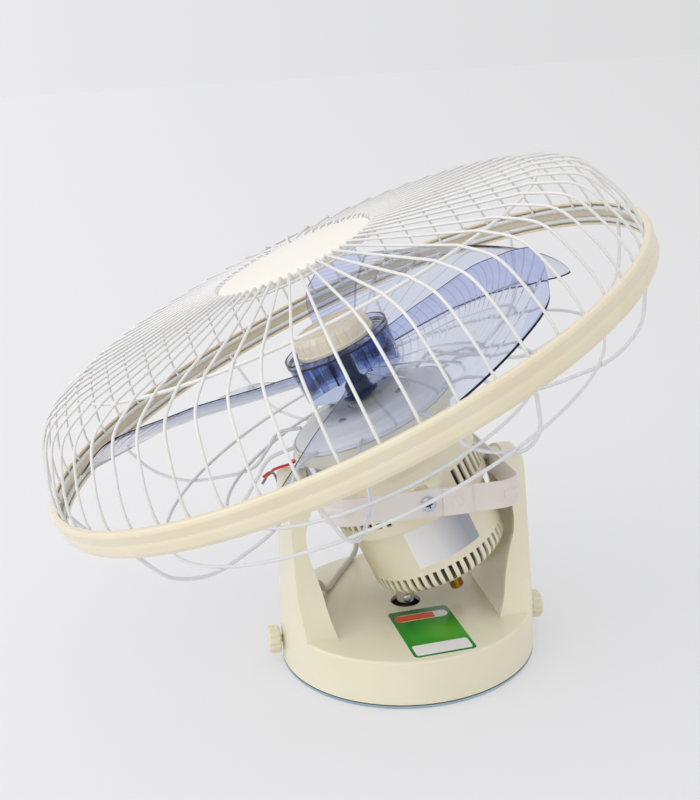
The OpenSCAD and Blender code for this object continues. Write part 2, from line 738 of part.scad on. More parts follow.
module gearbox_housing() {
    color(steel) at_head() difference() {
        union() {
            translate([0, 0, back_d]) cylinder(r = gearbox_r, h = gearbox_d - back_d);
            translate([0, 0, back_d - 2.5]) cylinder(r = 9, h = 3);
            spread(4, 45) translate([0, -5, ear_d]) cube([bolt_circle_r + 5, 10, 3]);
            translate([0, 0, gearbox_d]) cylinder(r = bearing_r + 2, h = 3);
        }
        translate([0, 0, gearbox_d - bearing_l + 3]) cylinder(r = bearing_r, h = bearing_l + 1);
        translate([0, 0, worm_end_d - 1]) cylinder(r = shaft_r + 0.5, h = 12);
        translate([0, 0, back_d - 4]) cylinder(r = shaft_r + 1 + run_gap, h = 16);
        spread(4, 45) translate([bolt_circle_r, 0, ear_d - 1]) cylinder(r = 1.8, h = 5);
    }
}

// ---- guards -------------------------------------------------------------------------------

// Path of a rear guard spoke as radius and place along the shaft, rim to seat
rear_path = smooth([[rear_edge_r, rear_rim_d + 1], [rear_edge_r - 6, 72], [rear_edge_r - 17, 53],
    [rear_edge_r - 41, 38], [rear_edge_r - 69, 33], [rear_edge_r - 103, 32], [98, 43], [81, 54],
    [seat_hoop_r, seat_hoop_d + hoop_wire / 2 + rear_wire / 2 - 0.3]], 2);
// Path of a front guard spoke, rim to cap
front_path = concat(smooth([[front_edge_r, front_rim_d - 1], [front_edge_r, 109], [front_edge_r - 7, 130],
    [front_edge_r - 21, 152.5], [shoulder_r, 163.5]], 2),
    [[hook_r + 2, cap_d + 1], [hook_r, cap_d - 1], [hook_r, cap_d - cap_t]]);
hoop_sink = 0.4;

function rear_place(r) = lookup(r, [for (p = rear_path) [p[0], p[1]]]);
function front_place(r) = lookup(r, [for (p = front_path) [p[0], p[1]]]);

module rear_guard_spokes() {
    color(white) at_head() spread(rear_spokes, 0.7)
        bar([for (p = rear_path) [p[0], 0, p[1]]], rear_wire, 8, [0, 1, 0]);
}

module rear_guard_hoops() {
    lift = (rear_wire + hoop_wire) / 2 - hoop_sink;
    color(white) at_head() {
        hoop(rim_r, rear_rim_d, rim_wire);
        hoop(outer_hoop_r, rear_place(outer_hoop_r) + lift, hoop_wire);
        hoop(inner_hoop_r, rear_place(inner_hoop_r) + lift, hoop_wire);
        hoop(seat_hoop_r, seat_hoop_d, hoop_wire);
    }
}

module front_guard_spokes() {
    color(white) at_head() spread(front_spokes, 3.9)
        bar([for (p = front_path) [p[0], 0, p[1]]], front_wire, 6, [0, 1, 0]);
}

module front_guard_hoops() {
    drop = (front_wire + hoop_wire) / 2 - hoop_sink;
    color(white) at_head() {
        hoop(rim_r, front_rim_d, rim_wire);
        hoop(shoulder_r, front_place(shoulder_r) - drop, hoop_wire);
        hoop(hook_r + front_wire / 2 + 0.7, cap_d - cap_t + 1.2, 2);
    }
}

module guard_clip() {
    low = clip_d - clip_h / 2;
    high = clip_d + clip_h / 2;
    lip_r = front_edge_r + front_wire / 2 + 0.3;
    color([0.93, 0.87, 0.72]) at_head() difference() {
        rotate_extrude($fn = 180) polygon([[lip_r, low], [clip_r - 2.6, low], [clip_r - 1.8, low + 0.6],
            [clip_r, clip_d + 0.5], [clip_r - 2.2, high - 0.4], [clip_r - 3, high], [lip_r, high],
            [lip_r, high - clip_wall], [clip_r - 2.6 - clip_wall * 0.6, high - clip_wall], [clip_r - clip_wall, clip_d + 0.5],
            [clip_r - 2.6 - clip_wall * 0.4, low + clip_wall], [lip_r, low + clip_wall]]);
        rotate([0, 0, joint_angle]) translate([lip_r - 2, -0.4, low - 1]) cube([10, 0.8, clip_h + 2]);
    }
}

joint_angle = -10;
joiner_t = rim_wire / 2 + clip_gap - 0.9;
joiner_l = 24;

module clip_joiner() {
    low = rear_rim_d + rim_wire / 2;
    high = front_rim_d - rim_wire / 2;
    color(cream) at_head() rotate([0, 0, joint_angle]) intersection() {
        rotate_extrude($fn = 180)
            polygon([[rim_r, low], [rim_r + joiner_t, low], [rim_r + joiner_t, high], [rim_r, high]]);
        translate([0, -joiner_l / 2, low - 1]) cube([rim_r + 2 * joiner_t, joiner_l, high - low + 2]);
    }
}

cap_face_t = 1.8;

module guard_cap() {
    color(cream) at_head() rotate_extrude()
        polygon([[0, cap_d - cap_face_t], [cap_r - 2, cap_d - cap_face_t], [cap_r - 2, cap_d - cap_t],
        [cap_r, cap_d - cap_t], [cap_r, cap_d - 1], [cap_r - 0.3, cap_d - 0.3], [cap_r - 1, cap_d], [0, cap_d]]);
}

module cap_lug() {
    color(cream) at_head() spread(4, -80) intersection() {
        translate([cap_r - 9, -6, cap_d - cap_t - 1]) cube([9, 12, cap_t - cap_face_t + 1]);
        translate([0, 0, cap_d - cap_t - 2]) cylinder(r = cap_r - 2, h = cap_t + 2);
    }
}

module guard_retainer() {
    color(white) at_head() difference() {
        union() {
            rotate_extrude() polygon([[nose_r + 1, retainer_d - 2], [38, retainer_d - 2], [44, seat_d + 6],
                [51, seat_d + 4], [54, seat_d], [seat_hoop_r - hoop_wire / 2 - 0.1, seat_d],
                [seat_hoop_r - hoop_wire / 2 - 0.1, seat_d + 2.2], [56.5, seat_d + 4.4], [51.4, seat_d + 7],
                [44.6, seat_d + 9], [39, retainer_d], [nose_r + 1, retainer_d]]);
            spread(4, 45) translate([retainer_pcr, 0, seat_d]) cylinder(r = 4, h = retainer_d - seat_d - 1);
        }
        spread(4, 45) translate([retainer_pcr, 0, seat_d - 1]) cylinder(r = 1.6, h = 14, $fn = 24);
    }
}

module retainer_screws() {
    color(zinc) at_head() spread(4, 45) translate([retainer_pcr, 0, retainer_d]) {
        pan_head(3.2, 2);
        translate([0, 0, seat_d - 5 - retainer_d]) cylinder(r = 1.6, h = retainer_d + 5 - seat_d, $fn = 24);
    }
}

// ---- rotor --------------------------------------------------------------------------------

module motor_shaft() {
    color(zinc) at_head() difference() {
        rotate_extrude() polygon([[0, worm_end_d], [shaft_r - 0.6, worm_end_d], [shaft_r, worm_end_d + 0.6],
            [shaft_r, hub_rim_d - 3.6], [shaft_r - 0.6, hub_rim_d - 3], [0, hub_rim_d - 3]]);
        translate([0, 0, pin_d]) rotate([90, 0, 0]) cylinder(r = 1.5, h = 20, center = true, $fn = 24);
    }
}

module rotor_core() {
    color(steel) at_head() difference() {
        union() {
            translate([0, 0, stack_d]) cylinder(r = stator_bore_r - 0.5, h = stack_l);
            for (d = [stack_d - 3, stack_d + stack_l]) translate([0, 0, d]) cylinder(r = stator_bore_r - 2, h = 3);
            spread(12) for (d = [stack_d - 8, stack_d + stack_l]) translate([15, -0.8, d]) cube([7, 1.6, 8]);
        }
        translate([0, 0, stack_d - 9]) cylinder(r = shaft_r, h = stack_l + 18);
    }
}

pin_d = 70;

module drive_pin() {
    color(zinc) at_head() translate([0, 0, pin_d]) rotate([90, 0, 0]) cylinder(r = 1.5, h = 18, center = true, $fn = 24);
}

module fan_hub() {
    collar_r = 16;
    tube_r = 9;
    foot_d = 65.5;
    color(tint) at_head() difference() {
        union() {
            // tapered cup, open to the front
            rotate_extrude() polygon([[shaft_r + 2, hub_foot_d], [hub_foot_r - 1, hub_foot_d], [hub_foot_r, hub_foot_d + 1],
                [hub_r - 0.8, hub_rim_d - 7], [hub_r, hub_rim_d - 7], [hub_r, hub_rim_d], [hub_r - hub_wall, hub_rim_d],
                [hub_r - hub_wall - 0.8, hub_rim_d - 7], [hub_foot_r - hub_wall, hub_foot_d + hub_wall],
                [shaft_r + 2, hub_foot_d + hub_wall]]);
            translate([0, 0, foot_d]) cylinder(r = tube_r, h = hub_rim_d - 8 - foot_d);
            translate([0, 0, foot_d]) cylinder(r = collar_r, h = 3);
            translate([0, 0, foot_d + 3]) cylinder(r1 = collar_r, r2 = tube_r, h = 5);
            // ribs from the shaft tube to the wall
            spread(6, 15) translate([tube_r - 1, -0.9, hub_foot_d]) cube([hub_foot_r - hub_wall - tube_r + 1.5, 1.8, 16]);
        }
        translate([0, 0, foot_d - 1]) cylinder(r = shaft_r, h = 60);
        translate([0, 0, pin_d]) rotate([90, 0, 0]) cylinder(r = 1.5, h = 18.02, center = true, $fn = 24);
    }
}

// Blade: t runs 0..1 from hub to tip, u runs 0..1 from leading to trailing edge
function lead_angle(t) = -4 - lead_sweep * pow(t, 1.6);
function trail_angle(t) = -4 - root_chord - 16 * pow(t, 0.7);
function lead_place(t) = hub_rim_d - 2 + lead_rise * pow(sin(90 * min(1, 1.25 * t)), 0.8);
function trail_place(t) = hub_foot_d + 2 + 14.5 * pow(t, 1.9);
function camber(t, u) = trail_place(t) + (lead_place(t) - trail_place(t)) * pow(max(0, 1 - u / 0.55), 2.2);
// Rounding of the tip's two corners, as a share of the chord
function corner(t) = 0.11 * (1 - sqrt(max(0, 1 - pow(max(0, t - 0.86) / 0.14, 2))));
function blade_point(t, u) = let (
        r = root_r + (tip_r - root_r) * t, v = corner(t) * 0.35 + (1 - corner(t) * 0.6) * u,
        a = lead_angle(t) + (trail_angle(t) - lead_angle(t)) * v)
    [r * cos(a), r * sin(a), camber(t, v)];
root_r = hub_foot_r + 1;
blade_rows = [0, 0.07, 0.18, 0.32, 0.46, 0.6, 0.74, 0.86, 0.92, 0.97, 1];
blade_columns = [0, 0.04, 0.09, 0.15, 0.22, 0.3, 0.38, 0.46, 0.56, 0.78, 1];

// Radius at which a blade's edge meets the tapered hub
function root_at(d) = hub_foot_r - 1 + (hub_r - hub_foot_r) * min(1, max(0, (d - hub_foot_d) / (hub_rim_d - 7 - hub_foot_d)));

module blade() {
    rows = len(blade_rows);
    n = len(blade_columns);
    skin = [
        for (face = [1, -1]) for (t = blade_rows) for (u = blade_columns)
            let (p = blade_point(t, u), r = norm([p[0], p[1]]), k = t == 0 ? root_at(p[2]) / r : 1)
                [p[0] * k, p[1] * k, p[2] + face * blade_t / 2]
    ];
    function at(face, i, k) = face * rows * n + i * n + k;
    front = [for (i = [0 : rows - 2]) for (k = [0 : n - 2])
        each [[at(0, i, k), at(0, i, k + 1), at(0, i + 1, k)], [at(0, i, k + 1), at(0, i + 1, k + 1), at(0, i + 1, k)]]];
    back = [for (i = [0 : rows - 2]) for (k = [0 : n - 2])
        each [[at(1, i, k), at(1, i + 1, k), at(1, i, k + 1)], [at(1, i, k + 1), at(1, i + 1, k), at(1, i + 1, k + 1)]]];
    lead = [for (i = [0 : rows - 2])
        each [[at(0, i, 0), at(0, i + 1, 0), at(1, i, 0)], [at(1, i, 0), at(0, i + 1, 0), at(1, i + 1, 0)]]];
    trail = [for (i = [0 : rows - 2])
        each [[at(0, i, n - 1), at(1, i, n - 1), at(0, i + 1, n - 1)],
            [at(1, i, n - 1), at(1, i + 1, n - 1), at(0, i + 1, n - 1)]]];
    root = [for (k = [0 : n - 2])
        each [[at(0, 0, k), at(1, 0, k), at(0, 0, k + 1)], [at(1, 0, k), at(1, 0, k + 1), at(0, 0, k + 1)]]];
    tip = [for (k = [0 : n - 2])
        each [[at(0, rows - 1, k), at(0, rows - 1, k + 1), at(1, rows - 1, k)],
            [at(1, rows - 1, k), at(0, rows - 1, k + 1), at(1, rows - 1, k + 1)]]];
    polyhedron(points = skin, faces = concat(front, back, lead, trail, root, tip));
}

module fan_blade(i) {
    color(tint) at_head() rotate([0, 0, -120 * (i - 1)]) blade();
}

module spinner() {
    base_d = hub_rim_d - 4;
    tube_end_d = hub_rim_d - 8;
    color([0.85, 0.81, 0.69]) at_head() difference() {
        rotate_extrude() polygon([[0, hub_rim_d - 3], [shaft_r, hub_rim_d - 3], [shaft_r, tube_end_d],
            [shaft_r + 4, tube_end_d], [shaft_r + 4, hub_rim_d - 2], [spinner_r - 3, hub_rim_d - 2], [spinner_r - 3, base_d],
            [spinner_r, base_d], [spinner_r - 0.6, base_d + spinner_h - 4], [spinner_r - 4, base_d + spinner_h],
            [spinner_r - 10, base_d + spinner_h], [spinner_r - 10.5, base_d + spinner_h - 1],
            [spinner_r - 17, base_d + spinner_h - 1], [spinner_r - 17.5, base_d + spinner_h - 2],
            [0, base_d + spinner_h - 2]]);
        spread(flutes) translate([spinner_r + 0.6, 0, base_d + 3]) cylinder(r = 1.3, h = spinner_h, $fn = 16);
    }
}

// ---- crank --------------------------------------------------------------------------------

module at_crank() {
    at_head() rotate([0, 0, crank_angle]) children();
}

module output_shaft() {
    r = shaft_r + 1;
    color(brass) at_head() rotate_extrude() polygon([[0, output_end_d], [r - 0.6, output_end_d], [r, output_end_d + 0.6],
        [r, back_d + 11], [0, back_d + 11]]);
}

module crank_arm() {
    color(copper) at_crank() translate([0, 0, arm_d - arm_t]) difference() {
        union() {
            cylinder(r = arm_w / 2 + 2, h = arm_t);
            translate([0, -arm_w / 2, 0]) cube([arm_reach + 6, arm_w, arm_t]);
        }
        translate([0, 0, -1]) cylinder(r = shaft_r + 1, h = arm_t + 2);
    }
}

block_l = 23;

module crank_block() {
    color([0.75, 0.7, 0.62]) difference() {
        union() {
            at_crank() translate([arm_reach + 6 - block_l, -arm_w / 2 + 0.5, arm_d - arm_t - block_t])
                cube([block_l, arm_w - 1, block_t]);
            translate([0, 0, boss_foot_z]) cylinder(r = block_boss_r, h = 13);
        }
        // trim the boss to the underside of the arm
        at_crank() translate([0, -20, arm_d - arm_t]) cube([80, 40, 20]);
        translate([0, 0, boss_foot_z - 1]) cylinder(r = 3, h = 8);
        translate([0, 1, screw_z]) rotate([90, 0, 0]) cylinder(r = 1.8, h = 20);
        translate([0, -block_boss_r + 0.2, screw_z]) rotate([90, 0, 0]) cylinder(r = 3.4, h = 5);
    }
}

screw_z = boss_foot_z + 3.6;

module crank_screw() {
    color(zinc) translate([0, -block_boss_r + 0.2, screw_z]) rotate([90, 0, 0]) {
        pan_head(3.2, 2);
        translate([0, 0, -5]) cylinder(r = 1.8, h = 5.01);
    }
}

// ---- wiring -------------------------------------------------------------------------------

lower_route = [[-68, 14, 40], [-68, 14, 48], [-66.5, 15.5, 52.5], [-62, 20, 50], [-58, 25, 43], [-53, 33, 38.8],
    [-44, 50, 38.6], [-34, 68, 38.6], [-25, 82, 39], [-20, 88, 45], [-20, 91, 54], [-26, 92, 67], [-29, 92, 80]];
middle_route = [[-29.1, 92, 80.4], [-31, 92, 93], [-31, 92, 106], [-30.5, 90, 116], [-30, 86.5, 120.8], [-30, 82.8, 121.4]];
upper_route = [[-30, 82.6, 121.4], [-29, 77, 120.3], [-24, 72, 113], [-16, 69, 103], [-9, 65, 95.5], [-6.2, 58, 92.4],
    [-6.1, 52, 92.4]];

module cable_lower() {
    color(cable_grey) bar(smooth(lower_route, 2), cable_d, 8);
}

module cable_middle() {
    color(cable_grey) bar(smooth(middle_route, 2), cable_d, 8, [1, 0, 0]);
}

module cable_upper() {
    color(cable_grey) bar(smooth(upper_route, 2), cable_d, 8, [1, 0, 0]);
}

// Tab on the strap's back that guides the cable under the strap
module cable_clip() {
    drop = 11;
    color(steel) at_ring() translate([clip_x, band_out_y, 0]) difference() {
        translate([-5, 0, -band_h / 2 - drop]) cube([10, 1.2, band_h + drop - 3]);
        translate([0, -1, -band_h / 2 - drop / 2]) rotate([-90, 0, 0]) cylinder(r = cable_d / 2 + cable_gap, h = 4);
    }
}

clip_x = -30;
cable_gap = 0.35;

// Places of the two leads' holes in the arm's side, as x and z
red_exit = [-79, 118];
grey_exit = [-84, 113];
exit_y = arm_top_r - arm_wall + 2;
red_route = [[red_exit[0], exit_y, red_exit[1]], [red_exit[0], exit_y + 5, red_exit[1] + 0.4], [-78, 34.6, 123],
    [-77, 33.5, 134], [-76, 26, 146.5], [-76, 14, 153], [-76.5, 4, 155.2], [-81, 0, 155.2], [-88, 2, 153],
    [-94, 5, 149.6], [-99.3, 8, 144.9]];
grey_route = [[grey_exit[0], exit_y, grey_exit[1]], [grey_exit[0], exit_y + 5, grey_exit[1] + 0.4],
    [-84.5, 34.6, 118], [-86, 34, 129], [-89.5, 27, 139.5], [-93, 19, 143], [-96.5, 13, 142.5], [-100.3, 9, 139.4]];

module red_lead() {
    color("red") bar(smooth(red_route, 3), lead_d, 8);
}

module grey_lead() {
    color("grey") bar(smooth(grey_route, 3), lead_d, 8);
}

mounting_plate();
plate_tabs();
base_cover();
cover_thumb_screws();
crank_post();
terminal_block();
capacitor();
cable_grommet();
yoke_pivot_screws();
cable_lower();
red_lead();
grey_lead();
gimbal_band();
band_rivet();
gimbal_bushes();
cable_clip();
cable_middle();
head_pivot_screws();
motor_front_cover();
motor_rear_cover();
stator_screws();
stator_core();
stator_windings();
front_bearing();
rear_bearing();
gearbox_housing();
strain_relief();
cable_upper();
guard_retainer();
retainer_screws();
rear_guard_spokes();
rear_guard_hoops();
guard_clip();
clip_joiner();
front_guard_spokes();
front_guard_hoops();
guard_cap();
cap_lug();
motor_shaft();
rotor_core();
drive_pin();
fan_hub();
fan_blade(1);  // fan_blade_1
fan_blade(2);  // fan_blade_2
fan_blade(3);  // fan_blade_3
spinner();
output_shaft();
crank_arm();
crank_block();
crank_screw();
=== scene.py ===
import json
import math

import bpy
import bmesh
import numpy as np
from mathutils import Matrix, Vector


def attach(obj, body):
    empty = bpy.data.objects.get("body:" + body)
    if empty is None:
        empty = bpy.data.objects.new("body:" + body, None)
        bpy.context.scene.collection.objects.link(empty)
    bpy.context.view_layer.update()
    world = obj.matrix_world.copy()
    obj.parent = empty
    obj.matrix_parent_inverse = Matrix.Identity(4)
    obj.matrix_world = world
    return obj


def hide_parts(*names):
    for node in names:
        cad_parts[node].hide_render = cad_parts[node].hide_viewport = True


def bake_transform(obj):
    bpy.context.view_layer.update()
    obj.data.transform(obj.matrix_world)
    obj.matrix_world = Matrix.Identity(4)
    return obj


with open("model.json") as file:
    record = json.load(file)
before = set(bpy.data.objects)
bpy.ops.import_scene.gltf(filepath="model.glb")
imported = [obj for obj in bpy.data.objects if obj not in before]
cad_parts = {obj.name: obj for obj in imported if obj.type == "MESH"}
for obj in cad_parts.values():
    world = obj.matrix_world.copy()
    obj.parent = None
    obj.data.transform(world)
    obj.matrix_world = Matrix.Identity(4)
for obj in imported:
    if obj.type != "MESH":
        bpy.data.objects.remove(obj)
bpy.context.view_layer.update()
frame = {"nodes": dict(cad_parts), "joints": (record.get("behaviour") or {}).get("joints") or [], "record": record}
nodes = frame["nodes"]
mm = 0.001
print("frame loaded")

# camera, in the photograph's perspective
cameraView = {
    "place": (-0.18375, -0.83244, 0.46057),
    "azimuth": -10.18,
    "elevation": 17.227,
    "roll": -3.059,
    "lens": 55.97,
}


def addObject(name, data):
    made = bpy.data.objects.new(name, data)
    bpy.context.scene.collection.objects.link(made)
    return made


def makeCamera(view):
    az, el, roll = (math.radians(view[k]) for k in ("azimuth", "elevation", "roll"))
    back = Vector((math.sin(az) * math.cos(el), -math.cos(az) * math.cos(el), math.sin(el)))
    right = (-back).cross(Vector((0, 0, 1))).normalized()
    up = right.cross(-back)
    side = math.cos(roll) * right + math.sin(roll) * up
    top = math.cos(roll) * up - math.sin(roll) * right
    data = bpy.data.cameras.new("camera")
    data.lens = view["lens"]
    data.sensor_width = 36
    data.sensor_fit = "AUTO"
    data.clip_end = 50
    cameraObject = addObject("camera", data)
    turn = Matrix((side, top, back)).transposed()
    cameraObject.matrix_world = Matrix.Translation(Vector(view["place"])) @ turn.to_4x4()
    bpy.context.scene.camera = cameraObject


makeCamera(cameraView)

# the tilted head's own directions, read from the joints
joints = {j["name"]: j for j in frame["joints"]}
headOrigin = Vector(joints["rotor_spin"]["pos_m"])
headAxis = Vector(joints["rotor_spin"]["axis"]).normalized()
headSide = Vector(joints["head_tilt"]["axis"]).normalized()
headFront = headSide.cross(headAxis).normalized()
headPlace = Matrix.Translation(headOrigin) @ Matrix((headFront, headSide, headAxis)).transposed().to_4x4()

boxFaces = ((0, 1, 3, 2), (4, 6, 7, 5), (0, 4, 5, 1), (2, 3, 7, 6), (1, 5, 7, 3), (0, 2, 6, 4))  # by corner


def linear(hexText):  # sRGB hex to linear colour
    parts = [int(hexText[i:i + 2], 16) / 255 for i in (1, 3, 5)]
    return tuple(c / 12.92 if c <= 0.04045 else ((c + 0.055) / 1.055) ** 2.4 for c in parts) + (1,)


def addNode(tree, kind, settings=None, links=None):
    node = tree.nodes.new(kind)
    for name, value in (settings or {}).items():
        if isinstance(name, int) or name in node.inputs:
            node.inputs[name].default_value = value
        else:
            setattr(node, name, value)
    for name, source in (links or {}).items():
        tree.links.new(source, node.inputs[name])
    return node


def startMaterial(name):
    material = bpy.data.materials.new(name)
    material.use_nodes = True
    tree = material.node_tree
    return material, tree, tree.nodes["Principled BSDF"]


def reckon(tree, operation, *values):  # a maths node; its values are numbers or other nodes' outputs
    node = addNode(tree, "ShaderNodeMath", {"operation": operation})
    for i, value in enumerate(values):
        if isinstance(value, (int, float)):
            node.inputs[i].default_value = value
        else:
            tree.links.new(value, node.inputs[i])
    return node.outputs[0]


def toneRamp(tree, share, stops):  # sRGB hex colours at places from 0 to 1
    node = addNode(tree, "ShaderNodeValToRGB", None, {"Fac": share})
    elements = node.color_ramp.elements
    while len(elements) > len(stops):
        elements.remove(elements[-1])
    while len(elements) < len(stops):
        elements.new(1)
    for element, (place, hexText) in zip(elements, stops):
        element.position = place
        element.color = linear(hexText)
    return node.outputs["Color"]


def setInputs(node, values):
    for name, value in values.items():
        node.inputs[name].default_value = value


def addRelief(tree, shader, height, strength, depth, invert=False):
    bump = addNode(tree, "ShaderNodeBump", {"Strength": strength, "Distance": depth, "invert": invert},
                   {"Height": height})
    tree.links.new(bump.outputs["Normal"], shader.inputs["Normal"])


def surfaceMaterial(name, colour, toned, roughness, grainMm, bump, metallic=0.0, patchMm=40, coat=0.0):
    # colour drifts to toned over patchMm; grainMm is the size of the surface's own texture
    material, tree, shader = startMaterial(name)
    place = addNode(tree, "ShaderNodeTexCoord").outputs["Object"]
    patch = addNode(tree, "ShaderNodeTexNoise", {"Scale": 1000 / patchMm, "Detail": 3}, {"Vector": place})
    tone = toneRamp(tree, patch.outputs["Fac"], [(0.3, colour), (0.75, toned)])
    grain = addNode(tree, "ShaderNodeTexNoise", {"Scale": 1000 / grainMm, "Detail": 2}, {"Vector": place})
    rough = addNode(tree, "ShaderNodeMapRange", {"To Min": roughness * 0.85, "To Max": roughness * 1.15},
                    {"Value": grain.outputs["Fac"]})
    tree.links.new(tone, shader.inputs["Base Color"])
    tree.links.new(rough.outputs["Result"], shader.inputs["Roughness"])
    addRelief(tree, shader, grain.outputs["Fac"], bump, 0.0001)
    setInputs(shader, {"Metallic": metallic, "Coat Weight": coat, "Coat Roughness": 0.12})
    return material


def tintMaterial(name, colour, toned, roughness, ior=1.3):
    # clear AS plastic, moulded glossy: the tint drifts a little with the wall, and faint ripples bend what is behind
    material, tree, shader = startMaterial(name)
    place = addNode(tree, "ShaderNodeTexCoord").outputs["Object"]
    patch = addNode(tree, "ShaderNodeTexNoise", {"Scale": 60, "Detail": 2}, {"Vector": place})
    tone = toneRamp(tree, patch.outputs["Fac"], [(0.35, colour), (0.7, toned)])
    tree.links.new(tone, shader.inputs["Base Color"])
    addRelief(tree, shader, patch.outputs["Fac"], 0.1, 0.0003)
    setInputs(shader, {"Roughness": roughness, "Transmission Weight": 1, "IOR": ior})
    return material


finishes = {  # roughness, grain in mm, relief, then metallic and patch in mm where they aren't the usual ones
    # injection-moulded cream ABS: a soft gloss, a fine mould grain, and a slight drift in tone
    "cream": surfaceMaterial("creamAbsMoulded", "#EBE3CA", "#E8DFC3", 0.3, 0.8, 0.1, coat=0.25),
    # the base cover's cream is painted a shade lighter than the housings: painted light, making up for the shade the
    # head casts on its top
    "baseCreamPaintedLight": surfaceMaterial("creamAbsBasePaintedLight", "#EEE8CF", "#EBE4C8", 0.3, 0.8, 0.1, coat=0.25),
    # glossier ivory ABS of the clip, yellower than the housings
    "clip": surfaceMaterial("ivoryAbsGloss", "#EBE1C8", "#E7DABD", 0.24, 1.0, 0.06, coat=0.4),
    # powder coat on wire: white, slightly orange-peeled
    "wirePaint": surfaceMaterial("whitePowderCoat", "#EAE9E6", "#E4E3E0", 0.3, 1.2, 0.15, coat=0.25),
    # the same coat on the rear wires, painted greyer: painted shade for where they sit under the head
    "rearWireShadedPaint": surfaceMaterial("whitePowderCoatPaintedShade", "#E8E8E8", "#DFDFE0", 0.3, 1.2, 0.15, coat=0.25),
    # baked enamel on a steel strap: greyer and pinker than the plastic
    "strapPaint": surfaceMaterial("greyWhiteEnamelOnSteel", "#E4DCD5", "#DFD6CD", 0.3, 1.5, 0.12, coat=0.3),
    "cap": surfaceMaterial("creamCapAbs", "#F6F2E8", "#F4EFE2", 0.36, 0.8, 0.08, coat=0.1),
    # the spinner is a paler cream, and is painted lighter still: painted light that stands in for the light the cage
    # and cap shade off it
    "spinner": surfaceMaterial("creamSpinnerAbsPaintedLight", "#FAF0DC", "#F6ECD6", 0.32, 0.8, 0.1, coat=0.15),
    "nylon": surfaceMaterial("naturalNylon", "#D3C7AF", "#C9BCA2", 0.45, 0.7, 0.2),
    "whitePlastic": surfaceMaterial("whitePolypropylene", "#F3F1EB", "#EEEBE3", 0.4, 0.8, 0.15),
    # zinc plate on steel screws: bright, with a bluish passivate
    "zinc": surfaceMaterial("zincPlatedSteel", "#C9D3DE", "#B4C2D0", 0.24, 2.5, 0.12, 1.0, 12),
    "plateSteel": surfaceMaterial("zincPlatedSheet", "#B5CBD6", "#A3BCCA", 0.35, 2.0, 0.1, 1.0, 25),
    # painted shade: this dark colour on the screw crosses stands for the shade inside the recesses
    "recess": surfaceMaterial("screwCrossPaintedShade", "#30343C", "#3C4450", 0.35, 1.0, 0.1, 1.0, 5),
    "steel": surfaceMaterial("electricalSteel", "#7E8187", "#6D7076", 0.42, 0.5, 0.3, 1.0, 15),
    "brass": surfaceMaterial("turnedBrass", "#B8923E", "#9E7A2C", 0.28, 0.6, 0.15, 1.0, 10),
    "copper": surfaceMaterial("pressedCopper", "#B98158", "#A26D47", 0.33, 0.8, 0.2, 1.0, 10),
    "winding": surfaceMaterial("enamelledWire", "#A35A2A", "#8C4A20", 0.35, 0.7, 0.6, 0.6, 6),
    "rubber": surfaceMaterial("blackRubber", "#2B2B2D", "#242426", 0.65, 0.6, 0.3),
    "sheath": surfaceMaterial("greyPvcSheath", "#D2CEC3", "#C9C4B8", 0.42, 0.9, 0.15),
    "redPvc": surfaceMaterial("redPvcInsulation", "#E0241B", "#D32018", 0.35, 0.9, 0.1),
    "greyPvc": surfaceMaterial("greyPvcInsulation", "#8E8F8E", "#838483", 0.4, 0.9, 0.1),
    "hubBlue": tintMaterial("deepBlueClearAs", "#C6D1EA", "#BFCBE7", 0.05),
    "hubPale": tintMaterial("paleBlueClearAs", "#DEE3F5", "#D8DEF3", 0.05),
    # painted shade: where the clear moulding turns a hard edge, light bending in it makes it look nearly black, so
    # those faces are painted nearly black
    "edgeShadeDark": surfaceMaterial("clearPlasticEdgePaintedShade", "#141528", "#1A1C33", 0.25, 2, 0.05),
    "tubeNavy": surfaceMaterial("navyClearAsThick", "#14213F", "#1A2B52", 0.12, 2, 0.03, coat=0.4),
}
slotFinish = {
    "zinc": "zinc", "cream_abs": "cream", "white_paint": "wirePaint", "strap_paint": "strapPaint",
    "clip_plastic": "clip", "blue_plastic": "hubPale", "spinner_plastic": "spinner", "nylon": "nylon",
    "white_plastic": "whitePlastic", "steel": "steel", "brass": "brass", "copper": "copper", "winding": "winding",
    "rubber": "rubber", "cable_sheath": "sheath", "red_insulation": "redPvc", "grey_insulation": "greyPvc",
}
nodeSlots = {s["node"]: s["material_slot"] for s in frame["record"]["subparts"]}
print("slots", len(nodeSlots), "materials", len(finishes))


def faceOutward(mesh, weld=0.0):
    work = bmesh.new()
    work.from_mesh(mesh)
    if weld:
        bmesh.ops.remove_doubles(work, verts=work.verts, dist=weld)
    bmesh.ops.recalc_face_normals(work, faces=work.faces)
    work.to_mesh(mesh)
    work.free()


def addPiece(name, mesh, body, hides=()):
    piece = addObject(name, mesh)
    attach(piece, body)
    if hides:
        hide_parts(*hides)
    return piece


def finishMesh(name, mesh, materials, body, hides=(), smoothAngle=35):
    faceOutward(mesh, 1e-6)
    for material in materials:
        mesh.materials.append(material)
    mesh.shade_smooth()
    mesh.set_sharp_from_angle(angle=math.radians(smoothAngle))
    return addPiece(name, mesh, body, hides)


def addBox(verts, faces, place, low, high):  # corners in millimetres, moved by place
    base = len(verts)
    for x in (low[0], high[0]):
        for y in (low[1], high[1]):
            for z in (low[2], high[2]):
                verts.append(place @ (Vector((x, y, z)) * mm))
    faces += [tuple(base + k for k in face) for face in boxFaces]


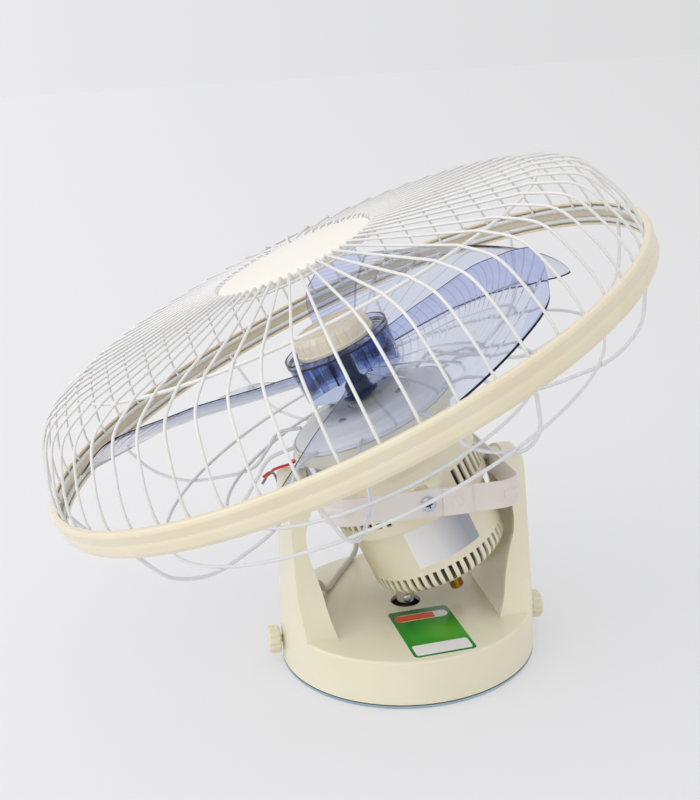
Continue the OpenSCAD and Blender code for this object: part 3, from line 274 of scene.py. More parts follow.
def rounded(corners, steps=4):  # closed outline of (x, y, radius) corners, each turned into an arc
    line = []
    n = len(corners)
    for i, (x, y, radius) in enumerate(corners):
        p = Vector((x, y))
        a = Vector(corners[i - 1][:2]) - p
        b = Vector(corners[(i + 1) % n][:2]) - p
        if radius <= 0 or a.length < 1e-9 or b.length < 1e-9:
            line.append((x, y))
            continue
        a, b, la, lb = a.normalized(), b.normalized(), a.length, b.length
        half = a.angle(b) / 2
        cut = min(radius / math.tan(half), la * 0.49, lb * 0.49)
        radiusHere = cut * math.tan(half)
        centre = p + (a + b).normalized() * (radiusHere / math.sin(half))
        start, end = p + a * cut, p + b * cut
        t0 = math.atan2(start.y - centre.y, start.x - centre.x)
        t1 = math.atan2(end.y - centre.y, end.x - centre.x)
        turn = (t1 - t0 + math.pi) % (2 * math.pi) - math.pi
        for k in range(steps + 1):
            t = t0 + turn * k / steps
            line.append((centre.x + radiusHere * math.cos(t), centre.y + radiusHere * math.sin(t)))
    return line


def latheMesh(name, outline, steps, place, start=0.0, sweep=360.0):  # closed outline of (r, d)
    whole = sweep >= 360
    count = steps if whole else steps + 1
    verts, faces = [], []
    for i in range(count):
        t = math.radians(start + sweep * i / steps)
        verts += [place @ (Vector((r * math.cos(t), r * math.sin(t), d)) * mm) for r, d in outline]
    n = len(outline)
    for i in range(steps):
        j = (i + 1) % count
        for k in range(n):
            m = (k + 1) % n
            if outline[k][0] < 1e-6 and outline[m][0] < 1e-6:
                continue
            faces.append((i * n + k, j * n + k, j * n + m, i * n + m))
    if not whole:
        faces += [tuple(range(n)), tuple(reversed(range((count - 1) * n, count * n)))]
    mesh = bpy.data.meshes.new(name)
    mesh.from_pydata(verts, [], faces)
    return mesh


def splinePoint(a, b, c, d, s):
    return 0.5 * (2 * b + (c - a) * s + (2 * a - 5 * b + 4 * c - d) * s * s + (3 * b - a - 3 * c + d) * s ** 3)


def smoothPath(points, steps):
    p = [np.array(q, float) for q in points]
    p = [2 * p[0] - p[1]] + p + [2 * p[-1] - p[-2]]
    line = [splinePoint(*p[i:i + 4], k / steps) for i in range(len(p) - 3) for k in range(steps)]
    return line + [p[-2]]


cordRoutes = {  # millimetres; stripped is where the bare copper starts and ends, measured back from the tip
    "cable_lower": dict(
        route=[(-68, 14, 40), (-68, 14, 48), (-66.5, 15.5, 52.5), (-62, 20, 50), (-58, 25, 43), (-53, 33, 38.8),
               (-44, 50, 38.6), (-34, 68, 38.6), (-25, 82, 39), (-20, 88, 45), (-20, 91, 54), (-26, 92, 67),
               (-29, 92, 80)],
        diameter=4.4, body="base", finish="sheath", slot="cable_sheath", end="object"),
    "cable_middle": dict(
        route=[(-29.1, 92, 80.4), (-31, 92, 93), (-31, 92, 106), (-30.5, 90, 116), (-30, 86.5, 120.8),
               (-30, 82.8, 121.4)],
        diameter=4.4, body=("base", "strap"), finish="sheath", slot="cable_sheath", end="object"),
    "cable_upper": dict(
        route=[(-30, 82.6, 121.4), (-29, 77, 120.3), (-24, 72, 113), (-16, 69, 103), (-9, 65, 95.5), (-6.2, 58, 92.4),
               (-6.1, 52, 92.4)],
        diameter=4.4, body=("strap", "head"), finish="sheath", slot="cable_sheath", end="object"),
    "red_lead": dict(
        route=[(-79, 26, 118), (-79, 31, 118.4), (-78, 34.6, 123), (-77, 33.5, 134), (-76, 26, 146.5),
               (-76, 14, 153), (-76.5, 4, 155.2), (-81, 0, 155.2), (-88, 2, 153), (-94, 5, 149.6),
               (-99.3, 8, 144.9)],
        diameter=2, body="base", finish="redPvc", slot="red_insulation", end="bare", stripped=(6.2, 9.2)),
    "grey_lead": dict(
        route=[(-84, 26, 113), (-84, 31, 113.4), (-84.5, 34.6, 118), (-86, 34, 129), (-89.5, 27, 139.5),
               (-93, 19, 143), (-96.5, 13, 142.5), (-100.3, 9, 139.4)],
        diameter=2, body="base", finish="greyPvc", slot="grey_insulation", end="bare", stripped=(5.6, 9.4)),
}
cordSection = {"sides": 14, "steps": 6, "copperShare": 0.5, "stripEdge": 0.02}


def makeCord(name, facts, section):
    line = np.array(smoothPath(facts["route"], section["steps"]))
    along = np.concatenate([[0], np.cumsum(np.linalg.norm(np.diff(line, axis=0), axis=1))])
    bare = [along[-1] - d for d in reversed(facts.get("stripped", ()))]  # where the insulation ends and starts again
    if bare:
        edge = section["stripEdge"]
        places = np.sort(np.concatenate([along, [b + e for b in bare for e in (-edge, edge)]]))
        line = np.stack([np.interp(places, along, line[:, k]) for k in range(3)], axis=1)
        along = places
    n, sides = len(line), section["sides"]
    verts, faces, kinds = [], [], []
    normal = None
    for i in range(n):
        ahead = Vector(line[min(i + 1, n - 1)] - line[max(i - 1, 0)]).normalized()
        normal = Vector((0, 0, 1)).cross(ahead) if normal is None else normal - ahead * normal.dot(ahead)
        if normal.length < 1e-4:
            normal = Vector((1, 0, 0)) - ahead * ahead.x
        normal.normalize()
        other = ahead.cross(normal)
        thin = bool(bare) and bare[0] < along[i] < bare[1]
        radius = facts["diameter"] / 2 * (section["copperShare"] if thin else 1)
        for k in range(sides):
            t = 2 * math.pi * k / sides
            verts.append((Vector(line[i]) + radius * (math.cos(t) * normal + math.sin(t) * other)) * mm)
        if i:
            kinds += [1 if thin and bare[0] < along[i - 1] else 0] * sides
    for i in range(n - 1):
        for k in range(sides):
            m = (k + 1) % sides
            faces.append((i * sides + k, i * sides + m, (i + 1) * sides + m, (i + 1) * sides + k))
    faces += [tuple(reversed(range(sides))), tuple(range((n - 1) * sides, n * sides))]
    mesh = bpy.data.meshes.new(name + "_tube")
    mesh.from_pydata(verts, [], faces)
    mesh.materials.append(finishes[facts["finish"]])
    mesh.materials.append(finishes["copper"])
    for polygon, kind in zip(mesh.polygons, kinds + [0, 0]):
        polygon.material_index = kind
    piece = addObject(name + "_tube", mesh)
    mesh.shade_smooth()
    mesh.set_sharp_from_angle(angle=math.radians(50))
    if isinstance(facts["body"], str):
        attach(piece, facts["body"])
    else:
        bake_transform(piece)
    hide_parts(name)


for cordName, cordFacts in cordRoutes.items():
    makeCord(cordName, cordFacts, cordSection)
print("cords made")


def makeWireTree():
    tree = bpy.data.node_groups.new("wireRing", "GeometryNodeTree")
    tree.is_modifier = True
    face = tree.interface
    face.new_socket(name="Geometry", in_out="OUTPUT", socket_type="NodeSocketGeometry")
    for name, kind in (("Geometry", "Geometry"), ("Wire radius", "Float"), ("Sides", "Int"), ("Count", "Int"),
                       ("First angle", "Float"), ("Finish", "Material")):
        face.new_socket(name=name, in_out="INPUT", socket_type="NodeSocket" + kind)
    given = addNode(tree, "NodeGroupInput").outputs
    line = addNode(tree, "GeometryNodeMeshToCurve", None, {"Mesh": given["Geometry"]})
    section = addNode(tree, "GeometryNodeCurvePrimitiveCircle", None,
                      {"Radius": given["Wire radius"], "Resolution": given["Sides"]})
    wire = addNode(tree, "GeometryNodeCurveToMesh", {"Fill Caps": True},
                   {"Curve": line.outputs[0], "Profile Curve": section.outputs[0]})
    index = addNode(tree, "GeometryNodeInputIndex")
    step = reckon(tree, "DIVIDE", 2 * math.pi, given["Count"])
    turn = reckon(tree, "MULTIPLY_ADD", index.outputs[0], step, given["First angle"])
    angle = addNode(tree, "ShaderNodeCombineXYZ", None, {"Z": turn})
    points = addNode(tree, "GeometryNodePoints", None, {"Count": given["Count"]})
    placed = addNode(tree, "GeometryNodeInstanceOnPoints", None,
                     {"Points": points.outputs[0], "Instance": wire.outputs[0], "Rotation": angle.outputs[0]})
    solid = addNode(tree, "GeometryNodeRealizeInstances", None, {"Geometry": placed.outputs[0]})
    smooth = addNode(tree, "GeometryNodeSetShadeSmooth", None, {"Geometry": solid.outputs[0]})
    painted = addNode(tree, "GeometryNodeSetMaterial", None,
                      {"Geometry": smooth.outputs[0], "Material": given["Finish"]})
    addNode(tree, "NodeGroupOutput", None, {"Geometry": painted.outputs[0]})
    return tree


wireTree = makeWireTree()


def wireRing(name, line, radius, sides, count, first, closed=False, finish="wirePaint"):
    # one wire along the (x, y, z) points, in the head's millimetres, and count copies of it round the axis
    mesh = bpy.data.meshes.new(name)
    edges = [(i, i + 1) for i in range(len(line) - 1)] + ([(len(line) - 1, 0)] if closed else [])
    mesh.from_pydata([Vector(p) * mm for p in line], edges, [])
    seed = addObject(name, mesh)
    modifier = seed.modifiers.new("wires", "NODES")
    modifier.node_group = wireTree
    values = {"Wire radius": radius * mm, "Sides": sides, "Count": count, "First angle": math.radians(first),
              "Finish": finishes[finish]}
    for item in wireTree.interface.items_tree:
        if item.in_out == "INPUT" and item.name in values:
            modifier[item.identifier] = values[item.name]
    done = bpy.data.meshes.new_from_object(seed.evaluated_get(bpy.context.evaluated_depsgraph_get()))
    bpy.data.objects.remove(seed)
    done.transform(headPlace)
    return done


def joinMeshes(name, meshes):
    work = bmesh.new()
    for mesh in meshes:
        work.from_mesh(mesh)
    whole = meshes[0].copy()
    whole.name = name
    work.to_mesh(whole)
    work.free()
    return whole


guard = {  # radii, and places along the head's axis
    "frontSpokes": 58, "frontWire": 2.0, "frontSides": 8, "frontTurn": 3.9, "frontEdge": 222.9,
    "rearSpokes": 10, "rearWire": 2.6, "rearSides": 10, "rearTurn": 0.7, "rearEdge": 222.4,
    "hoopWire": 2.4, "rimWire": 3.2, "capWire": 2.0, "weld": 0.4, "steps": 6,
    "rimRadius": 224.8, "frontRim": 97, "rearRim": 88, "shoulder": 174.6, "shoulderPlace": 163.5,
    "outerHoop": 172, "innerHoop": 124, "seatHoop": 60.5, "seatPlace": 50.7, "seatEnd": 52.9,
    "hook": 59.5, "capHoop": 61.2, "capHoopPlace": 170.7,
    "frontCurve": ((0, 96), (0, 109), (-7, 130), (-21, 152.5)),  # from the edge: how far in, and place
    "frontHook": ((2, 176.5), (0.6, 176.2), (0, 174.5), (0, 169.5)),  # how far out from the hook, and place
    "rearCurve": ((0, 89), (-6, 72), (-17, 53), (-41, 38), (-69, 33), (-103, 32)),
    "rearRise": ((98, 43), (81, 54)),
}


def circleLine(r, d, steps=180):
    return [(r * math.cos(2 * math.pi * i / steps), r * math.sin(2 * math.pi * i / steps), d) for i in range(steps)]


def makeGuards(g):
    front = [(g["frontEdge"] + x, d) for x, d in g["frontCurve"]] + [(g["shoulder"], g["shoulderPlace"])]
    front = [(p[0], 0, p[1]) for p in smoothPath(front, g["steps"])]
    front += [(g["hook"] + x, 0, d) for x, d in g["frontHook"]]
    rear = [(g["rearEdge"] + x, d) for x, d in g["rearCurve"]] + [*g["rearRise"], (g["seatHoop"], g["seatEnd"])]
    rear = smoothPath(rear, g["steps"])
    rearLine = [(p[0], 0, p[1]) for p in rear]

    def onRear(r):
        return np.interp(r, [p[0] for p in reversed(rear)], [p[1] for p in reversed(rear)])

    lift = (g["rearWire"] + g["hoopWire"]) / 2 - g["weld"]
    drop = (g["frontWire"] + g["hoopWire"]) / 2 - g["weld"]
    spokes = wireRing("front_spokes", front, g["frontWire"] / 2, g["frontSides"], g["frontSpokes"], g["frontTurn"])
    addPiece("front_spokes", spokes, "head", ["front_guard_spokes"])
    # the rear spokes and hoops take the coat painted greyer, as painted shade
    spokes = wireRing("rear_spokes", rearLine, g["rearWire"] / 2, g["rearSides"], g["rearSpokes"], g["rearTurn"],
                      False, "rearWireShadedPaint")
    addPiece("rear_spokes", spokes, "head", ["rear_guard_spokes"])
    for name, hides, paint, hoops in (
            ("front_hoops", "front_guard_hoops", "wirePaint",
             [(g["rimRadius"], g["frontRim"], g["rimWire"]),
              (g["shoulder"], g["shoulderPlace"] - drop, g["hoopWire"]),
              (g["capHoop"], g["capHoopPlace"], g["capWire"])]),
            ("rear_hoops", "rear_guard_hoops", "rearWireShadedPaint",
             [(g["rimRadius"], g["rearRim"], g["rimWire"]),
              (g["outerHoop"], onRear(g["outerHoop"]) + lift, g["hoopWire"]),
              (g["innerHoop"], onRear(g["innerHoop"]) + lift, g["hoopWire"]),
              (g["seatHoop"], g["seatPlace"], g["hoopWire"])])):
        rings = [wireRing(name, circleLine(r, d), w / 2, g["rearSides"], 1, 0, True, paint) for r, d, w in hoops]
        addPiece(name, joinMeshes(name, rings), "head", [hides])


makeGuards(guard)
print("guards made")


clipShape = {
    "lip": 224.2, "start": -9.85, "sweep": 359.7, "steps": 240,  # the sweep leaves the joint open
    "profile": (  # how far out from the lip, place along the axis, corner radius
        (0, 83, 0), (2.6, 83, 1.2), (4.4, 86, 2.5), (4.5, 90.6, 1.5), (3.9, 92.9, 0.6), (5.3, 99.2, 2.5),
        (4.2, 102, 1.6), (0, 102, 0.4), (0, 100.2, 0.3), (2.3, 100.2, 0.6), (2.7, 92.4, 0.8), (2.3, 84.8, 0.6),
        (0, 84.8, 0.3)),
}
capShape = {"radius": 58.4, "wall": 2.0, "low": 169.5, "top": 175.5, "disc": 1.8, "steps": 128}


def makeClip(c):
    # a hollow channel round both rims: a bulge at the front, a shallow groove, and a flatter band at the back
    outer = rounded([(c["lip"] + x, d, radius) for x, d, radius in c["profile"]], 6)
    mesh = latheMesh("clip_band", outer, c["steps"], headPlace, c["start"], c["sweep"])
    finishMesh("clip_band", mesh, [finishes["clip"]], "head", ["guard_clip"], 50)


def makeCap(c):
    under, inner = c["top"] - c["disc"], c["radius"] - c["wall"]
    outer = [(0, under, 0), (inner, under, 0.4), (inner, c["low"], 0.3), (c["radius"], c["low"], 0.5),
             (c["radius"], c["top"], 1.6), (0, c["top"], 0)]
    mesh = latheMesh("cap_disc", rounded(outer, 6), c["steps"], headPlace)
    finishMesh("cap_disc", mesh, [finishes["cap"]], "head", ["guard_cap"], 50)


spinnerShape = {
    "foot": 28.8, "wall": 28.3, "shoulder": 27.4, "top": 24.6, "base": 106.7, "rim": 2.9, "height": 15.1,
    "flutes": 24, "fluteSteps": 12, "fluteWidth": 1.2, "fluteDepth": 0.9,
    "face": (  # rings on the top face: radius, height over the top, corner radius
        (22, 0, 0.5), (21.6, -1, 0.3), (18.4, -1, 0.3), (17.8, -0.4, 0.4), (14.5, -0.4, 0.4), (14, -1.6, 0.4),
        (0, -1.6, 0)),
}


def makeSpinner(s):
    # flutes are cut by drawing the radius in where each one passes
    base, up = s["base"], s["base"] + s["height"]
    outline = [(0, up - 6, 0), (s["top"] - 2, up - 6, 1), (s["wall"] - 2.6, base, 0.3), (s["foot"], base, 0.4),
               (s["foot"], base + s["rim"], 0.5), (s["wall"], base + s["rim"] + 0.4, 0.2),
               (s["shoulder"], up - 4, 1.6), (s["top"], up, 0.9)]
    outline = rounded(outline + [(r, up + d, radius) for r, d, radius in s["face"]], 3)
    mesh = latheMesh("spinner_knob", outline, s["flutes"] * s["fluteSteps"], Matrix.Identity(4))
    for v in mesh.vertices:
        rr = math.hypot(v.co.x, v.co.y) / mm
        if rr > s["shoulder"] - 1.5 and base + s["rim"] + 0.2 < v.co.z / mm < up - 3:
            phase = (math.degrees(math.atan2(v.co.y, v.co.x)) * s["flutes"] / 360) % 1
            across = abs((phase + 0.5) % 1 - 0.5) * 2 * math.pi * rr / s["flutes"]
            cut = s["fluteDepth"] * max(0, 1 - (across / s["fluteWidth"]) ** 2) ** 0.5
            v.co.x *= (rr - cut) / rr
            v.co.y *= (rr - cut) / rr
    mesh.transform(headPlace)
    finishMesh("spinner_knob", mesh, [finishes["spinner"]], "rotor", ["spinner"], 30)


makeClip(clipShape)
makeCap(capShape)
makeSpinner(spinnerShape)
print("rings made")

bladeShape = {  # edges are given at even steps from the hub to the tip: degrees, and height along the axis
    "root": 39, "tip": 201.4, "trailTip": 173.4, "thickness": 1.1, "leadEdge": 0.7, "tipEdge": 1.6, "camber": 1.6,
    "leadAngles": (-22.7, -25.1, -27.7, -30.2, -32.9, -36.6, -40.1, -44.7, -55.3),
    "leadPlaces": (103.7, 109.4, 114.6, 120.4, 125.7, 128.5, 131.0, 129.7, 112.2),
    "trailAngles": (-104.6, -115.0, -122.6), "trailPlaces": (84.8, 84.5, 72.5),
    "tipShare": 0.97,  # the tip's edge is thicker from this share of the reach
    "cornerShare": 0.1, "tipDraw": 0.05, "leadDraw": 5, "tipCurve": 1.5,  # how the tip's corners round off
    "ribLean": 0.69, "leanEnd": 195, "leanFade": 70, "ribSpread": 0.003, "spreadFrom": 100,
}
hubShape = {
    "rim": 39.3, "top": 110, "shoulder": 38.8, "plate": 104.8, "foot": 37, "base": 77, "bore": 8.6, "band": 0.06,
    "tubeBore": 3.2, "tubeFoot": 65.5, "tubeTop": 4.6, "ribs": 18, "ribWall": 1.4, "ribTurn": 7, "ribEnd": 36.4,
    "tube": ((13.2, 0, 0.5), (13.2, 1.7, 0.4), (9, 7, 1.5), (9, 13.5, 1), (5.2, 18.5, 1.5)),  # over the tube's foot
    "steps": 96,
}


def alongEdge(stations, t):
    p = [2 * stations[0] - stations[1], *stations, 2 * stations[-1] - stations[-2]]
    place = t * (len(stations) - 1)
    i = min(int(place), len(stations) - 2)
    return splinePoint(*p[i:i + 4], place - i)


def bladePoint(b, t, u):
    share = b["cornerShare"]
    corner = 1 - math.sqrt(max(0, 1 - (max(0, t - (1 - share)) / share) ** 2))
    v = u * (1 - b["tipDraw"] * corner)
    lead, trail = alongEdge(b["leadAngles"], t), alongEdge(b["trailAngles"], t)
    leadPlace, trailPlace = alongEdge(b["leadPlaces"], t), alongEdge(b["trailPlaces"], t)
    place = trailPlace + (leadPlace - trailPlace) * (1 - v) ** b["camber"]
    reach = b["tip"] + (b["trailTip"] - b["tip"]) * v ** b["tipCurve"]
    reach -= b["leadDraw"] * max(0, 1 - v / share) ** 2
    r = b["root"] + (reach - b["root"]) * t
    angle = math.radians(lead + (trail - lead) * v)
    return Vector((r * math.cos(angle), r * math.sin(angle), place)), r


def ribPlace(b, run, r):
    # ribs lean outwards from the leading edge; near the tip they lean less and stand wider apart
    lean = b["ribLean"] * min(1, max(0, (b["leanEnd"] - r) / b["leanFade"]))
    start = r - lean * run
    return start - b["ribSpread"] * max(0, start - b["spreadFrom"]) ** 2


def makeBlade(b, hub, number, materials):
    # rows run from the hub to the tip and columns back from the leading edge, closer together where it curves most
    rows = [i / 44 for i in range(39)] + [1 - 0.1364 * (1 - k / 12) ** 1.6 for k in range(1, 13)]
    columns = [(i / 48) ** 1.15 for i in range(49)]
    n = len(columns)
    turn = Matrix.Rotation(math.radians(-120 * (number - 1)), 4, "Z")
    verts, along, across = [], [], []
    for face in (0.5, -0.5):
        for t in rows:
            line = [bladePoint(b, t, u) for u in columns]
            atTip = min(1, max(0, (t - b["tipShare"]) / (1 - b["tipShare"])))
            run = 0
            for k, (p, r) in enumerate(line):
                run += (p - line[k - 1][0]).length if k else 0
                body = min(run, 8) / 8  # full thickness 8 mm behind the edge
                thick = b["leadEdge"] + (b["thickness"] - b["leadEdge"]) * body
                half = face * (thick + (b["tipEdge"] - thick) * atTip * body)
                spot = Vector(p)
                if t == 0:  # the root lies in the hub's wall
                    share = min(1, (p.z - hub["base"]) / (hub["plate"] - hub["base"]))
                    wall = (hub["foot"] + (hub["shoulder"] - hub["foot"]) * share - 0.7) / math.hypot(p.x, p.y)
                    spot.x *= wall
                    spot.y *= wall
                verts.append(turn @ (spot + Vector((0, 0, half))) * mm)
                along.append((run / 100, ribPlace(b, run, r) / 100))
                across.append((columns[k], t))
    m = len(rows)
    faces, marks = [], []

    def at(side, i, k):
        return side * m * n + i * n + k

    for i in range(m - 1):
        for k in range(n - 1):
            faces.append((at(0, i, k), at(0, i + 1, k), at(0, i + 1, k + 1), at(0, i, k + 1)))
            faces.append((at(1, i, k), at(1, i, k + 1), at(1, i + 1, k + 1), at(1, i + 1, k)))
            marks += [0, 2]
        # the edge faces are painted dark as shade: the leading edge in a dark tint, the tip and trailing edges nearly
        # black
        faces.append((at(0, i, 0), at(1, i, 0), at(1, i + 1, 0), at(0, i + 1, 0)))
        faces.append((at(0, i, n - 1), at(0, i + 1, n - 1), at(1, i + 1, n - 1), at(1, i, n - 1)))
        marks += [3 if rows[i] < b["tipShare"] else 1, 1]
    for k in range(n - 1):
        faces.append((at(0, 0, k), at(0, 0, k + 1), at(1, 0, k + 1), at(1, 0, k)))
        faces.append((at(0, m - 1, k), at(1, m - 1, k), at(1, m - 1, k + 1), at(0, m - 1, k + 1)))
        marks += [2, 1]
    mesh = bpy.data.meshes.new("blade")
    mesh.from_pydata(verts, [], faces)
    for polygon, mark in zip(mesh.polygons, marks):
        polygon.material_index = mark
    for layerName, values in (("blade", along), ("chord", across)):
        layer = mesh.uv_layers.new(name=layerName)
        for loop in mesh.loops:
            layer.data[loop.index].uv = values[loop.vertex_index]
    for material in materials:
        mesh.materials.append(material)
    mesh.transform(headPlace)
    mesh.shade_smooth()
    mesh.set_sharp_from_angle(angle=math.radians(50))
    faceOutward(mesh)
    addPiece("blade_" + str(number), mesh, "rotor", ["fan_blade_" + str(number)])


def softLine(tree, value, level, half):  # 1 on the level, fading to 0 at half away from it
    size = reckon(tree, "ABSOLUTE", reckon(tree, "SUBTRACT", value, level))
    line = addNode(tree, "ShaderNodeMapRange", {"From Min": 0.0, "From Max": half, "To Min": 1.0, "To Max": 0.0},
                   {"Value": size})
    line.interpolation_type = "SMOOTHSTEP"
    return line.outputs["Result"]


bladeRelief = {  # lines as (level, half width): levels are shares of the chord, ribs are in units of 100 mm
    "band": (0.355, 0.009), "steps": ((0.43, 0.008), (0.555, 0.008), (0.63, 0.008), (0.72, 0.008), (0.85, 0.009)),
    "slant": 0.27, "tipFall": -12, "tipLevel": 11.5, "backFrom": 0.1, "backRise": 8, "blend": 0.1,
    "ribGap": 0.0315, "ribHalf": 0.0075,
    "depth": ((0.0, "#C9D2F5"), (0.345, "#CFD7F7"), (0.365, "#E6EAF6"), (0.8, "#E4E9F6")),
    "ribShade": "#8A97C4", "stepShade": "#8E98BE", "bandEdgeShade": "#4C5574", "stepShare": 0.55, "bandShare": 0.8,
}


def bladeMaterial(m):
    # clear blue AS plastic, thin and pale; moulded ribs run across a deeper band along the leading edge,
    # and the surface goes down towards the trailing corner in steps with rounded ends; their edges are drawn as
    # darker lines of painted shade
    material, tree, shader = startMaterial("clearBlueAsBlade")
    uv = addNode(tree, "ShaderNodeUVMap", {"uv_map": "blade"})
    split = addNode(tree, "ShaderNodeSeparateXYZ", None, {"Vector": uv.outputs[0]})
    lead, ribHere = split.outputs["X"], split.outputs["Y"]  # in units of 100 mm
    chord = addNode(tree, "ShaderNodeUVMap", {"uv_map": "chord"})
    cross = addNode(tree, "ShaderNodeSeparateXYZ", None, {"Vector": chord.outputs[0]})
    back, out = cross.outputs["X"], cross.outputs["Y"]  # shares of the chord and of the reach
    slant = reckon(tree, "MULTIPLY_ADD", out, m["slant"], back)
    end = reckon(tree, "MULTIPLY_ADD", out, m["tipFall"], m["tipLevel"])
    level = reckon(tree, "SMOOTH_MIN", slant, end, m["blend"])
    past = reckon(tree, "MAXIMUM", reckon(tree, "SUBTRACT", back, m["backFrom"]), 0.0)
    bandEnd = reckon(tree, "MULTIPLY_ADD", past, m["backRise"], end)
    bandLevel = reckon(tree, "SMOOTH_MIN", slant, bandEnd, m["blend"])
    ribLine = softLine(tree, reckon(tree, "PINGPONG", ribHere, m["ribGap"]), 0.0, m["ribHalf"])
    ribFade = addNode(tree, "ShaderNodeMapRange", {"From Min": 0.35, "From Max": 0.9, "To Min": 0.75, "To Max": 0.0},
                      {"Value": lead})
    ribs = reckon(tree, "MULTIPLY", ribLine, ribFade.outputs["Result"])
    lines = None
    for height, half in m["steps"]:
        line = softLine(tree, level, height, half)
        lines = line if lines is None else reckon(tree, "MAXIMUM", lines, line)
    steps = reckon(tree, "MULTIPLY", lines, m["stepShare"])
    band = reckon(tree, "MULTIPLY", softLine(tree, bandLevel, *m["band"]), m["bandShare"])
    colour = toneRamp(tree, bandLevel, m["depth"])
    # painted shade: darker lines along the ribs, the steps and the band's edge stand for the dark edges that light
    # bending at these moulded ridges gives
    for share, hexText in ((ribs, m["ribShade"]), (steps, m["stepShade"]), (band, m["bandEdgeShade"])):
        colour = addNode(tree, "ShaderNodeMix", {"data_type": "RGBA", 7: linear(hexText)},
                         {0: share, 6: colour}).outputs[2]
    tree.links.new(colour, shader.inputs["Base Color"])
    addRelief(tree, shader, reckon(tree, "MAXIMUM", lines, ribs), 0.25, 0.0005, True)
    setInputs(shader, {"Roughness": 0.04, "Transmission Weight": 1, "IOR": 1.12})
    return material


finishes["blade"] = bladeMaterial(bladeRelief)
# painted shade: the leading edge's dark tint stands for the dark line that light bending in the clear edge gives
finishes["bladeEdge"] = tintMaterial("clearBlueAsEdgePaintedShade", "#262C4A", "#20263F", 0.1, 1.1)
finishes["bladeClear"] = tintMaterial("clearBlueAsUnderside", "#E6EAF8", "#E2E7F7", 0.04, 1.12)
for bladeNumber in (1, 2, 3):
    makeBlade(bladeShape, hubShape, bladeNumber,
              [finishes["blade"], finishes["edgeShadeDark"], finishes["bladeClear"], finishes["bladeEdge"]])
print("blades made")


def makeHub(h):
    # a cup with a band round its rim painted dark as the shade of its clear edge, a tube over the shaft, and ribs
    # between the two
    plate, rim, top, base = h["plate"], h["rim"], h["top"], h["base"]
    shell = rounded([(h["foot"] - 1.3, base, 0.3), (h["foot"], base, 0.4), (h["shoulder"], plate, 0),
                     (rim, plate + 0.6, 0), (rim, top, 0.5), (rim - 1.3, top, 0.5), (rim - 1.5, plate + 1.6, 0.4),
                     (h["bore"], plate + 1.6, 0.3), (h["bore"], plate, 0.3), (h["shoulder"] - 1.4, plate, 0.3)], 3)
    cup = finishMesh("hub_cup", latheMesh("hub_shell", shell, h["steps"], headPlace),
                     [finishes["hubBlue"], finishes["hubPale"], finishes["edgeShadeDark"]],
                     "rotor", ["fan_hub"], 40)
    back = headPlace.inverted()
    for polygon in cup.data.polygons:
        place = (back @ polygon.center).z / mm
        polygon.material_index = 2 if place > top - 0.2 else 1 if place > plate + 0.5 else 0
    edge, foot = rim + h["band"], h["tubeFoot"]
    band = [(rim - 1.2, plate), (rim - 0.35, plate), (edge, plate + 0.5), (edge, plate + 1.5),
            (rim - 1.2, plate + 1.5)]
    tube = [(h["tubeBore"], foot, 0)] + [(r, foot + d, radius) for r, d, radius in h["tube"]]
    tube = rounded(tube + [(h["tubeTop"], plate - 0.1, 0), (h["tubeBore"], plate - 0.1, 0)], 3)
    for name, outline, finish in (("hub_band", band, "edgeShadeDark"), ("hub_tube", tube, "tubeNavy")):
        finishMesh(name, latheMesh(name, outline, h["steps"], headPlace), [finishes[finish]],
                   "rotor", (), 40)
    verts, faces = [], []
    for i in range(h["ribs"]):
        turn = Matrix.Rotation(math.radians(h["ribTurn"] + 360 / h["ribs"] * i), 4, "Z")
        inner, low = (30, 85.5) if i % 3 else (9.5, 87)  # every third rib reaches in to the tube
        addBox(verts, faces, headPlace @ turn, (inner, -h["ribWall"] / 2, low),
               (h["ribEnd"], h["ribWall"] / 2, plate - 0.2))
    mesh = bpy.data.meshes.new("hub_ribs")
    mesh.from_pydata(verts, [], faces)
    finishMesh("hub_ribs", mesh, [finishes["hubBlue"]], "rotor")


makeHub(hubShape)
print("hub made")

baseLabel = {
    "width": 46.8, "height": 71.2, "corner": 3.5, "thickness": 0.15,
    "middle": (6.3, -52.5), "turn": 3.3, "level": 36.3,
    "printed": (0.006, 0.462, 0.006, 0.706, 0.035),  # fields as left, right, low, high and corner, in 100 mm
    "bars": (((0.035, 0.433, 0.54, 0.64, 0.049), "#F0EFEA"), ((0.042, 0.33, 0.547, 0.633, 0.006), "#E4572A"),
             ((0.035, 0.12, 0.547, 0.633, 0.042), "#E4572A"), ((0.03, 0.438, 0.03, 0.175, 0.02), "#F3F2F0")),
    "field": ((0.0, "#12861A"), (0.3, "#179A1F"), (0.5, "#118C20"), (0.63, "#2C7A3C")),
    "glowPlace": (0.30, 0.30, 0), "glow": "#7CCB4B", "border": "#E9EDE6",
}
motorPlate = {"start": -115.2, "end": -60.4, "low": -55.4, "high": -23.0, "radius": 52.22, "corner": 1.2,
              "thickness": 0.2}


